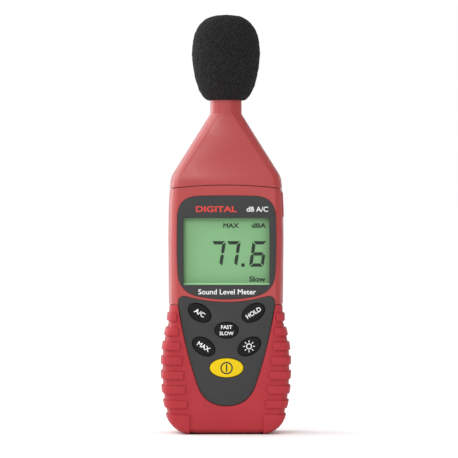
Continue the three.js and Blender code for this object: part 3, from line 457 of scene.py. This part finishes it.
def rectangle(half_width, bottom, top, corner):
    corners = [(-half_width, bottom), (half_width, bottom), (half_width, top), (-half_width, top)]
    return outline([(x, z, corner, 0) for x, z in corners])


def oval(key, grow=0.0):
    x, z, half, turn = KEYS[key]
    tilt = Matrix.Rotation(math.radians(turn), 2)
    across, up = half[0] + grow, half[1] + grow
    around = [2 * math.pi * i / KEY_SIDES for i in range(KEY_SIDES)]
    return [Vector((x, z)) + tilt @ Vector((across * math.cos(a), up * math.sin(a))) for a in around]


def inset(loop, distance):
    """The loop moved inwards, where it runs anticlockwise."""
    moved = []
    for i, point in enumerate(loop):
        along = (loop[(i + 1) % len(loop)] - loop[i - 1]).normalized()
        moved.append(point + Vector((-along.y, along.x)) * distance)
    return moved


def plate(name, outer, holes, front, back, rounding, steps=4):
    """A flat plate from y front to y back, with its front edges rounded, round the holes too."""
    points, faces = [], []
    front_loops, back_loops = [], []
    for loop, side in [(outer, 1), *((hole, -1) for hole in holes)]:
        angles = [math.pi / 2 * step / steps for step in range(steps + 1)]
        levels = [(rounding * (1 - math.sin(a)), front + rounding * (1 - math.cos(a))) for a in angles]
        levels.append((0, back))
        base, count = len(points), len(loop)
        for distance, y in levels:
            points += [(p.x, y, p.y) for p in inset(loop, side * distance)]
        for level in range(len(levels) - 1):
            for j in range(count):
                a, b = base + level * count + j, base + level * count + (j + 1) % count
                quad = (a, a + count, b + count, b)
                faces.append(quad if side > 0 else quad[::-1])
        front_loops.append(range(base, base + count))
        back_loops.append(range(base + (len(levels) - 1) * count, base + len(levels) * count))
    for loops, flip in ((front_loops, False), (back_loops, True)):
        flat = [index for loop in loops for index in loop]
        drawn = [[Vector((points[index][0], points[index][2], 0)) for index in loop] for loop in loops]
        for triangle in tessellate_polygon(drawn):
            a, b, c = (flat[index] for index in triangle)
            faces.append((a, c, b) if flip else (a, b, c))
    piece = mesh_piece(name, points, faces)
    face_outwards(piece)
    return piece


def face_outwards(piece):
    shape = bmesh.new()
    shape.from_mesh(piece.data)
    bmesh.ops.remove_doubles(shape, verts=shape.verts, dist=1e-7)
    bmesh.ops.recalc_face_normals(shape, faces=shape.faces)
    shape.to_mesh(piece.data)
    shape.free()


# ---- Windscreen ----
def bezier(corners, steps):
    """Points along a cubic curve, without its first."""
    points = []
    for step in range(1, steps + 1):
        t = step / steps
        weights = ((1 - t) ** 3, 3 * t * (1 - t) ** 2, 3 * t * t * (1 - t), t**3)
        points.append(tuple(sum(w * corner[k] for w, corner in zip(weights, corners)) for k in (0, 1)))
    return points


def roughened(point, centre, top):
    """A point of the foam's skin, moved in or out by the lumps of its open cells."""
    lumps = 0.2 * noise.noise(point / 2.2) + 0.12 * noise.noise(point / 0.9)
    moved = point + (point - centre).normalized() * lumps
    return Vector((moved.x, moved.y, min(moved.z, top)))


def windscreen():
    """The foam ball: a turned outline, hollow for the microphone, with a skin roughened by its cells."""
    low, high = box_mm("windscreen")
    radius, bottom, top = high.x, low.z, high.z
    widest = bottom + 22.2
    step, bore_top = bottom + 14.2, bottom + 31.8
    inside = [(0.02, bore_top), (6.6, bore_top), (6.65, step), (7.75, step), (7.75, bottom + 1.2)]
    lower = bezier([(8.0, bottom + 0.2), (14.9, bottom + 1.7), (radius, widest - 2), (radius, widest)], 60)
    upper = bezier([(radius, widest), (radius, top - 1.5), (7.6, top), (0.02, top)], 70)
    centre = Vector((0, 0, widest))
    rings = []
    for i, (r, z) in enumerate(inside + lower + upper):
        ring = [Vector((x, y, z)) for x, y in circle(0, 0, r, FOAM_SIDES)]
        rings.append([roughened(point, centre, top) for point in ring] if i > len(inside) else ring)
    piece = rings_piece("windscreen_foam", rings)
    dress(piece, "windscreen", smooth_degrees=180)


# ---- Display ----
def display_bezel():
    opening = rectangle(*LCD_WINDOW, 0.5)
    piece = plate("display_bezel_overlay", outline(BEZEL_CORNERS), [opening], -17.2, -16.4, 0.15)
    dress(piece, "display_bezel")


def display_window():
    half_width, bottom, top = LCD_WINDOW
    pane = rectangle(half_width + 0.4, bottom - 0.4, top + 0.4, 0.8)
    piece = plate("display_window_pane", pane, [], -16.35, -15.35, 0.1)
    dress(piece, "display_window")


def window_ledge():
    """The sloping lower edge of the window's recess, in a brighter copy of the display's green: a painted
    highlight.
    """
    half_width, bottom, _ = LCD_WINDOW
    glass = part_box("lcd_glass")[0].y / MM
    section = [(glass - 0.02, bottom), (glass - 0.02, bottom + 0.85), (glass - 0.95, bottom)]
    ends = [[(side * half_width, y, z) for y, z in section] for side in (-1, 1)]
    dress(rings_piece("display_window_ledge", ends), "display_window", LEDGE_HIGHLIGHT_GREEN, replaced=False)


# ---- Keypad ----
def keypad_panel():
    holes = [oval(key, KEY_CLEARANCE) for key in KEYS]
    piece = plate("keypad_panel_plate", outline(PANEL_CORNERS), holes, -17.4, -16.2, 0.2)
    dress(piece, "keypad_panel")


def key_cap(key):
    """An oval silicone key: a flange behind the panel, a straight side, a rounded rim and a flat top."""
    front = key_front(key)
    turns = [math.pi / 2 * step / KEY_RIM_STEPS for step in range(1, KEY_RIM_STEPS + 1)]
    levels = [(0.9, -13.4), (0.9, -14.15), (0.8, -14.25), (0.0, -14.25), (0.0, front + KEY_RIM)]
    levels += [(KEY_RIM * (math.cos(turn) - 1), front + KEY_RIM * (1 - math.sin(turn))) for turn in turns]
    piece = rings_piece(key + "_cap", [[(p.x, y, p.y) for p in oval(key, grow)] for grow, y in levels])
    dress(piece, key, smooth_degrees=40)


def key_front(key):
    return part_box(key)[0].y / MM + INK_DEPTH / 2


# ---- Printing ----
def printed(name, points, triangles, surface, ink, body):
    """A thin layer of ink half sunk in a surface, over the triangles between (x, z) points."""
    shape = bmesh.new()
    corners = [shape.verts.new(Vector((x, surface + INK_DEPTH / 2, z)) * MM) for x, z in points]
    for triangle in triangles:
        shape.faces.new([corners[index] for index in triangle])
    bmesh.ops.delete(shape, geom=[corner for corner in corners if not corner.link_faces], context="VERTS")
    raised = bmesh.ops.extrude_face_region(shape, geom=shape.faces[:])["geom"]
    for corner in raised:
        if isinstance(corner, bmesh.types.BMVert):
            corner.co.y -= INK_DEPTH * MM
    bmesh.ops.recalc_face_normals(shape, faces=shape.faces)
    piece = shape_piece(name, shape)
    piece.data.materials.append(ink)
    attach(piece, body)


def letter_sides(text, boldness):
    """The outlines of a line of text as directed sides, each a pair of points."""
    curve = bpy.data.curves.new("letters", "FONT")
    curve.body = text
    curve.offset = boldness
    curve.extrude = 0.5
    curve.fill_mode = "NONE"
    curve.resolution_u = 6
    drawn = placed("letters", curve)
    bpy.context.view_layer.update()
    walls = bpy.data.meshes.new_from_object(drawn.evaluated_get(bpy.context.evaluated_depsgraph_get()))
    bpy.data.objects.remove(drawn)
    sides = []
    for wall in walls.polygons:
        around = [walls.vertices[index].co for index in wall.vertices]
        for start, end in zip(around, around[1:] + around[:1]):
            if start.z > 0 and end.z > 0:
                sides.append((start.xy, end.xy))
    bpy.data.meshes.remove(walls)
    return sides


def winding(point, sides):
    """How many times the outlines run round a point."""
    turns = 0
    for start, end in sides:
        upwards = end.y > start.y
        if (start.y <= point.y) != (end.y <= point.y):
            beyond = (end.x - start.x) * (point.y - start.y) - (end.y - start.y) * (point.x - start.x) > 0
            if beyond == upwards:
                turns += 1 if upwards else -1
    return turns


def lettering(name, text, spot, surface, ink, body, boldness=0.02, tilt_about=None, tilt=0):
    """Flat letters fitted to spot (left, right, bottom, top) on the front, at y = surface."""
    sides = letter_sides(text, boldness)
    ends = [point for side in sides for point in side]
    pairs = [(i, i + 1) for i in range(0, len(ends), 2)]
    points, _, triangles, *_ = delaunay_2d_cdt(ends, pairs, [], 0, 1e-5)
    centres = [sum((points[i] for i in face), Vector((0, 0))) / 3 for face in triangles]
    inside = [face for face, centre in zip(triangles, centres) if winding(centre, sides)]
    low = [min(point[axis] for point in points) for axis in (0, 1)]
    high = [max(point[axis] for point in points) for axis in (0, 1)]
    left, right, bottom, top = spot
    turn = Matrix.Rotation(math.radians(tilt), 2)
    centre = Vector(tilt_about or (0, 0))
    fitted = []
    for point in points:
        x = left + (point.x - low[0]) / (high[0] - low[0]) * (right - left)
        z = bottom + (point.y - low[1]) / (high[1] - low[1]) * (top - bottom)
        fitted.append(centre + turn @ (Vector((x, z)) - centre))
    printed(name, fitted, inside, surface, ink, body)


def drawing(name, polygons, surface, ink, body):
    """Flat shapes on the front, each a list of (x, z) points or an (outer, inner) pair of such lists."""
    points, triangles = [], []
    for polygon in polygons:
        loops = polygon if isinstance(polygon, tuple) else (polygon,)
        for triangle in tessellate_polygon([[Vector((x, z, 0)) for x, z in loop] for loop in loops]):
            triangles.append([len(points) + index for index in triangle])
        points += [point for loop in loops for point in loop]
    printed(name, points, triangles, surface, ink, body)


def circle(x, z, radius, sides=48):
    around = [2 * math.pi * i / sides for i in range(sides)]
    return [(x + radius * math.cos(a), z + radius * math.sin(a)) for a in around]


def bar(start, end, width):
    """A straight stroke from start to end."""
    along = (Vector(end) - Vector(start)).normalized() * width / 2
    across = Vector((-along.y, along.x))
    start, end = Vector(start), Vector(end)
    return [tuple(point) for point in (start - across, end - across, end + across, start + across)]


def sun_drawing(x, z):
    rays = []
    for i in range(8):
        way = Vector((math.cos(math.pi * i / 4), math.sin(math.pi * i / 4)))
        rays.append(bar(Vector((x, z)) + way * 1.85, Vector((x, z)) + way * 2.8, 0.38))
    return [(circle(x, z, 1.38), circle(x, z, 0.95)), *rays]


def power_drawing(x, z):
    return [(circle(x, z, 2.95, 64), circle(x, z, 2.3, 64)), bar((x, z - 1.8), (x, z + 1.8), 0.65)]


def digit_segments(left, lit):
    """The lit strokes of one seven-segment digit: a top, b and c right, d bottom, e and f left, g middle."""
    w, h, t, gap, cut = 7.0, 12.2, 1.6, 0.14, 0.35
    middle = h / 2
    shapes = {
        "a": [(gap + cut, h), (w - gap - cut, h), (w - gap - t, h - t), (gap + t, h - t)],
        "d": [(gap + cut, 0), (gap + t, t), (w - gap - t, t), (w - gap - cut, 0)],
        "f": [
            (0, h - gap - cut), (t, h - gap - t), (t, middle + gap + t / 2),
            (t / 2, middle + gap), (0, middle + gap + t / 3),
        ],
        "e": [
            (0, gap + cut), (0, middle - gap - t / 3), (t / 2, middle - gap),
            (t, middle - gap - t / 2), (t, gap + t),
        ],
        "g": [
            (t / 2 + gap, middle), (t + gap, middle + t / 2), (w - t - gap, middle + t / 2),
            (w - t / 2 - gap, middle), (w - t - gap, middle - t / 2), (t + gap, middle - t / 2),
        ],
    }
    for right_side, left_side in (("b", "f"), ("c", "e")):
        shapes[right_side] = [(w - x, z) for x, z in reversed(shapes[left_side])]
    slant = math.tan(math.radians(8.5))
    return [[(left + x + slant * z, 79.55 + z) for x, z in shapes[name]] for name in lit]


def display_reading():
    """The reading 77.6 with its notes, printed on the glass."""
    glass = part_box("lcd_glass")[0].y / MM
    strokes = digit_segments(-9.03, "abc") + digit_segments(-1.98, "abc") + digit_segments(10.65, "acdefg")
    strokes.append(bar((7.05, 80.35), (8.65, 80.35), 1.6))
    drawing("reading_digits", strokes, glass, SEGMENT_INK, "meter_body")
    for name, text, spot in (
        ("reading_max", "MAX", (-1.55, 6.0, 98.0, 100.3)),
        ("reading_dba", "dBA", (12.0, 18.9, 98.0, 100.3)),
        ("reading_slow", "Slow", (10.8, 18.7, 72.45, 75.0)),
    ):
        lettering(name, text, spot, glass, SEGMENT_INK, "meter_body", boldness=0.035)


def bezel_words():
    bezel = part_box("display_bezel")[0].y / MM
    name_spot = (-13.4, 14.0, 66.45, 68.95)
    lettering("words_name", "Sound Level Meter", name_spot, bezel, INK_WHITE, "meter_body", 0.01)
    lettering("words_red", "DIGITAL", (-14.6, 4.9, 105.5, 108.4), bezel, INK_RED, "meter_body", 0.03)
    lettering("words_unit", "dB A/C", (9.5, 19.7, 105.7, 108.1), bezel, INK_WHITE, "meter_body", 0.01)


def key_words():
    for key, lines in (
        ("key_ac", [("A/C", 5.4, 2.25, 0)]),
        ("key_hold", [("HOLD", 7.8, 2.2, 0)]),
        ("key_max", [("MAX", 6.6, 2.2, 0)]),
        ("key_fast_slow", [("FAST", 5.3, 1.75, 1.45), ("SLOW", 6.7, 1.75, -1.5)]),
    ):
        x, z, _, turn = KEYS[key]
        for text, length, height, up in lines:
            spot = (x - length / 2, x + length / 2, z + up - height / 2, z + up + height / 2)
            name = "words_" + text.replace("/", "").lower()
            lettering(name, text, spot, key_front(key), INK_WHITE, key, 0.02, (x, z), turn)
    x, z, _, _ = KEYS["key_light"]
    drawing("sign_sun", sun_drawing(x - 0.2, z + 0.1), key_front("key_light"), INK_WHITE, "key_light")
    x, z, _, _ = KEYS["key_power"]
    drawing("sign_power", power_drawing(x, z - 0.1), key_front("key_power"), INK_DARK, "key_power")


# ---- Pieces inside ----
def box_mm(node):
    """The low and the high corner of a CAD node, in millimetres."""
    return [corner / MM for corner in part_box(node)]


def block_piece(name, blocks):
    """A piece joined from blocks of (low corner, high corner, edge radius)."""
    whole = bmesh.new()
    for low, high, radius in blocks:
        low, high = Vector(low), Vector(high)
        corners = bmesh.ops.create_cube(whole, size=1)["verts"]
        for corner in corners:
            corner.co = ((low + high) / 2 + corner.co * (high - low)) * MM
        edges = list({edge for corner in corners for edge in corner.link_edges})
        bmesh.ops.bevel(whole, geom=edges, offset=radius * MM, segments=2, profile=0.5, affect="EDGES")
    return shape_piece(name, whole)


def stacked(name, loop, levels, axis):
    """A solid with the loop moved inwards by each level's distance, at that level's place along y or z."""
    rings = []
    for distance, place in levels:
        section = inset(loop, distance)
        rings.append([(p.x, place, p.y) if axis == "y" else (p.x, p.y, place) for p in section])
    return rings_piece(name, rings)


def rounded_section(low, high, corner):
    """A rounded rectangle from one (across, up) corner to the other."""
    corners = [(low[0], low[1]), (high[0], low[1]), (high[0], high[1]), (low[0], high[1])]
    return outline([(x, z, corner, 0) for x, z in corners])


def round_section(low, high, sides=48):
    """The circle that fills a box seen along its axis."""
    centre = ((low[0] + high[0]) / 2, (low[1] + high[1]) / 2)
    return [Vector(point) for point in circle(*centre, (high[0] - low[0]) / 2, sides)]


def battery_can():
    """A steel can with rolled rims at both ends and a printed wrap between them."""
    low, high = box_mm("battery_can")
    loop = rounded_section(low.xy, high.xy, 2.4)
    bottom, top = low.z, high.z
    rim = [(1.0, 0.25), (0.8, 0), (0.3, 0), (0, 0.3), (0, 1.1), (0.4, 1.5)]
    levels = [(d, bottom + up) for d, up in rim] + [(d, top - up) for d, up in reversed(rim)]
    dress(stacked("battery_can_shell", loop, levels, "z"), "battery_can")
    wrap = [(0.4, bottom + 1.6), (0.1, bottom + 1.75), (0.1, top - 1.75), (0.4, top - 1.6)]
    dress(stacked("battery_wrap", loop, wrap, "z"), "battery_can", WRAP_BLUE, replaced=False)
    for name, text, spot in (
        ("words_nine_volt", "9 V", (6.5, -6.5, 31, 40)),
        ("sign_plus", "+", (-5.2, -7.4, 53.5, 55.7)),
        ("sign_minus", "-", (7.4, 5.2, 54.4, 54.9)),
    ):
        lettering(name, text, spot, high.y - 0.1, INK_WHITE, BODY_OF["battery_can"])


def battery_terminals():
    """The male stud, and the crown that is wider at its mouth, on the same foot."""
    for node, levels in (
        ("battery_terminal_positive", [(0.6, 1.4), (0.3, 1.8), (0.3, 2.2), (0.7, 2.6)]),
        ("battery_terminal_negative", [(0.5, 1.6), (0, 2.3), (0.2, 2.6), (1.3, 2.6), (1.5, 1)]),
    ):
        low, high = box_mm(node)
        foot = [(0, -0.3), (0, 0.4), (0.6, 0.5)]
        loop = round_section(low.xy, high.xy)
        dress(stacked(node + "_shell", loop, [(d, low.z + up) for d, up in foot + levels], "z"), node)


def battery_snap():
    """The moulded cap over both terminals, stepped in towards its leads."""
    low, high = box_mm("battery_snap")
    levels = [(0.4, 0), (0, 0.4), (0, 1.8), (0.5, 2.1), (0.5, 3.1), (1.0, 3.6)]
    loop = rounded_section(low.xy, high.xy, 4.5)
    dress(stacked("battery_snap_shell", loop, [(d, low.z + up) for d, up in levels], "z"), "battery_snap")


def door_pad():
    """A soft pad with swollen edges."""
    low, high = box_mm("door_pad")
    levels = [(0.8, low.y), (0.15, low.y + 0.5), (0, (low.y + high.y) / 2)]
    levels += [(0.15, high.y - 0.5), (0.8, high.y)]
    loop = rounded_section((low.x, low.z), (high.x, high.z), 2.5)
    dress(stacked("door_pad_shell", loop, levels, "y"), "door_pad")


def chip_legs(low, high, count, axis):
    """Bent legs of (start, end, bottom, top) runs along both sides of a chip across one axis."""
    along = 2 - axis
    blocks = []
    for i in range(count):
        at = low[along] + (high[along] - low[along]) * (0.14 + 0.72 * i / (count - 1))
        for side, edge in ((-1, low[axis]), (1, high[axis])):
            for start, end, bottom, top in ((0, 0.8, 0, 0.2), (0.6, 0.85, 0, 0.75), (0.6, 1.2, 0.6, 0.8)):
                first = Vector((0, low.y + bottom, 0))
                last = Vector((0, low.y + top, 0))
                first[axis], last[axis] = sorted((edge - side * start, edge - side * end))
                first[along], last[along] = at - 0.15, at + 0.15
                blocks.append((first, last, 0.03))
    return blocks


def chips():
    """Flat packages with legs round four sides or along two."""
    for node, sides in (("mcu_chip", {0: 11, 2: 11}), ("amplifier_chip", {0: 5})):
        low, high = box_mm(node)
        room = Vector((1.0 if 0 in sides else 0, 0, 1.0 if 2 in sides else 0))
        body = (low + room + Vector((0, 0.15, 0)), high - room, 0.18)
        dress(block_piece(node + "_shell", [body]), node)
        legs = [leg for axis, count in sides.items() for leg in chip_legs(low, high, count, axis)]
        dress(block_piece(node + "_legs", legs), node, MATERIALS["steel"], replaced=False)


def crystal_can():
    """A drawn metal can with round ends on a wider flange."""
    low, high = box_mm("crystal_can")
    levels = [(0, low.y), (0, low.y + 0.4), (0.35, low.y + 0.45)]
    levels += [(0.35, high.y - 0.5), (0.5, high.y - 0.15), (0.85, high.y)]
    loop = rounded_section((low.x, low.z), (high.x, high.z), 1.9)
    dress(stacked("crystal_can_shell", loop, levels, "y"), "crystal_can")


def filter_capacitor():
    """A sleeve rolled in near its base, with a rimmed end."""
    low, high = box_mm("filter_capacitor")
    foot = [(0.15, 0), (0, 0.2), (0, 1.0), (0.25, 1.2), (0.25, 1.45), (0, 1.65)]
    levels = [(d, low.y + up) for d, up in foot]
    levels += [(0, high.y - 0.3), (0.25, high.y), (0.7, high.y), (0.85, high.y - 0.2)]
    loop = round_section((low.x, low.z), (high.x, high.z))
    dress(stacked("filter_capacitor_shell", loop, levels, "y"), "filter_capacitor")


def mic_capsule():
    """A turned can with a groove under its rim and a sunk end."""
    low, high = box_mm("mic_capsule")
    levels = [(0.3, low.z), (0, low.z + 0.3), (0, high.z - 1.3), (0.35, high.z - 1.1), (0.35, high.z - 0.8)]
    levels += [(0, high.z - 0.6), (0.2, high.z), (2.2, high.z), (2.4, high.z - 0.3)]
    dress(stacked("mic_capsule_shell", round_section(low.xy, high.xy), levels, "z"), "mic_capsule")


def mic_plug():
    """A socket with four walls and the plug standing in it."""
    low, high = box_mm("mic_plug")
    wall, mouth = 0.7, high.y - 1
    blocks = [
        (low, (high.x, low.y + 1.2, high.z), 0.12),
        (low, (low.x + wall, mouth, high.z), 0.12),
        ((high.x - wall, low.y, low.z), (high.x, mouth, high.z), 0.12),
        (low, (high.x, mouth, low.z + wall), 0.12),
        ((low.x, low.y, high.z - wall), (high.x, mouth, high.z), 0.12),
    ]
    room = Vector((wall + 0.3, 0, wall + 0.3))
    blocks.append((low + room, high - room, 0.2))
    dress(block_piece("mic_plug_shell", blocks), "mic_plug")


def trimmer_body():
    """A box that stands on four feet."""
    low, high = box_mm("trimmer_body")
    blocks = [(low + Vector((0, 0.5, 0)), high, 0.3)]
    for x in (low.x + 0.8, high.x - 1.8):
        for z in (low.z + 0.6, high.z - 1.6):
            blocks.append(((x, low.y, z), (x + 1, low.y + 0.7, z + 1), 0.1))
    dress(block_piece("trimmer_body_shell", blocks), "trimmer_body")


def zebra_strips():
    """Each strip is a stack of thin conducting and insulating layers that stand proud in turn."""
    for node in ("zebra_strip_upper", "zebra_strip_lower"):
        low, high = box_mm(node)
        skin = Vector((0.1, 0.1, 0.1))
        count = round((high.x - low.x) / 0.8)
        blocks = [(low + skin, high - skin, 0.05)]
        for i in range(count):
            x = low.x + (high.x - low.x) * i / count
            blocks.append(((x, low.y, low.z), (x + 0.4, high.y, high.z), 0.04))
        dress(block_piece(node + "_shell", blocks), node)


def display_stack():
    """The two glasses with their polariser, and the light guide with its diffuser and its lamp."""
    low, high = box_mm("lcd_glass")
    blocks = [((low.x, low.y + 0.95, low.z), high, 0.08)]
    blocks.append(((low.x + 0.2, low.y + 0.1, low.z + 0.2), (high.x - 0.2, low.y + 1.0, high.z - 1), 0.08))
    blocks.append(((low.x + 0.5, low.y, low.z + 0.5), (high.x - 0.5, low.y + 0.2, high.z - 1.4), 0.04))
    dress(block_piece("lcd_glass_shell", blocks), "lcd_glass")
    low, high = box_mm("backlight_panel")
    diffuser = ((low.x + 0.5, low.y, low.z + 0.5), (high.x - 0.5, low.y + 0.6, high.z - 0.5), 0.1)
    blocks = [((low.x, low.y + 0.5, low.z), high, 0.15), diffuser]
    dress(block_piece("backlight_panel_shell", blocks), "backlight_panel")
    low, high = box_mm("backlight_led")
    blocks = [((low.x + 0.3, low.y, low.z), high, 0.1)]
    for z in (low.z + 0.8, (low.z + high.z) / 2 - 0.7, high.z - 2.2):
        blocks.append(((low.x, low.y + 0.5, z), (low.x + 0.5, high.y - 0.5, z + 1.4), 0.2))
    dress(block_piece("backlight_led_shell", blocks), "backlight_led")


def rear_label_words():
    """Words on the back; their left is the object's right."""
    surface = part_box("rear_label")[1].y / MM
    for name, text, spot in (
        ("words_rear_name", "SOUND LEVEL METER", (11.5, -11.5, 99.2, 101.2)),
        ("words_rear_power", "9 V BATTERY", (6.5, -6.5, 95.4, 97.1)),
    ):
        lettering(name, text, spot, surface, INK_GREY, "meter_body")


# ---- Build ----
windscreen()
display_bezel()
display_window()
window_ledge()
keypad_panel()
for key in KEYS:
    key_cap(key)
for build in (battery_can, battery_terminals, battery_snap, door_pad, chips, crystal_can, filter_capacitor):
    build()
for build in (mic_capsule, mic_plug, trimmer_body, zebra_strips, display_stack, rear_label_words):
    build()
for node in ("front_case", "rear_case", "nose_cone"):
    refined(node, 0.25, only_exposed=True, flat_sides=node != "nose_cone")
for node in ("front_grip", "rear_grip"):
    refined(node, 0.35, segments=3, only_exposed=True)
modelled = {node for piece in bpy.data.objects for node in piece.get("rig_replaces", [])}
for node in sorted(set(frame["nodes"]) - modelled):
    refined(node, 0.12)
display_reading()
bezel_words()
key_words()
for node, cad in frame["nodes"].items():
    cad.data.materials.clear()
    cad.data.materials.append(MATERIALS[SLOT_OF[node]])


# ---- Studio ----
def camera():
    made = placed("camera", bpy.data.cameras.new("camera"))
    azimuth = math.radians(CAMERA_AZIMUTH)
    back = Vector((math.sin(azimuth), -math.cos(azimuth), 0))
    made.location = Vector(CAMERA_TARGET) + back * CAMERA_DISTANCE
    made.rotation_euler = (-back).to_track_quat("-Z", "Y").to_euler()
    made.data.sensor_width = SENSOR_WIDTH
    made.data.lens = SENSOR_WIDTH * CAMERA_DISTANCE / VIEW_WIDTH
    bpy.context.scene.camera = made


def place_light(name, kind, way, **settings):
    light = bpy.data.lights.new(name, kind)
    for setting, value in settings.items():
        setattr(light, setting, value)
    made = placed(name, light)
    made.rotation_euler = Vector(way).to_track_quat("-Z", "Y").to_euler()
    return made


def floor():
    corners = [(-1, -1), (1, -1), (1, 1), (-1, 1)]
    made = mesh_piece("floor", [(x * FLOOR_REACH, y * FLOOR_REACH, 0) for x, y in corners], [(0, 1, 2, 3)])
    finish = Finish("floor_paper", Roughness=0.9)
    finish.feed("Base Color", finish.mix(finish.noise(300), rgb(246, 246, 246), rgb(250, 250, 250)))
    made.data.materials.append(finish.material)


def dark_card():
    """A dark board beyond the right side, out of view, seen only in the gloss of the right-hand faces."""
    corners = [(420, -600, 5), (420, 1600, 5), (420, 1600, 900), (420, -600, 900)]
    made = mesh_piece("dark_card", corners, [(0, 1, 2, 3)])
    made.visible_camera = False
    made.visible_diffuse = False
    made.visible_shadow = False
    finish = Finish("card_paper", Roughness=0.9)
    finish.feed("Base Color", finish.mix(finish.noise(200), rgb(140, 140, 140), rgb(146, 146, 146)))
    made.data.materials.append(finish.material)


def studio():
    scene = bpy.context.scene
    scene.view_settings.view_transform = "Standard"
    world = bpy.data.worlds.new("studio")
    world.use_nodes = True
    world.node_tree.nodes["Background"].inputs["Color"].default_value = (1, 1, 1, 1)
    world.node_tree.nodes["Background"].inputs["Strength"].default_value = 1.0
    scene.world = world
    place_light("key", "SUN", (0.35, 0.9, -0.6), energy=0.6, angle=math.radians(24))
    for name, spot in (("left_back", (-0.6, 0.45, 0.35)), ("left_high", (-0.62, -0.05, 0.5))):
        panel = place_light(name, "AREA", SUBJECT - Vector(spot), shape="SQUARE", size=0.55, energy=1.9)
        panel.location = spot


camera()
floor()
dark_card()
studio()
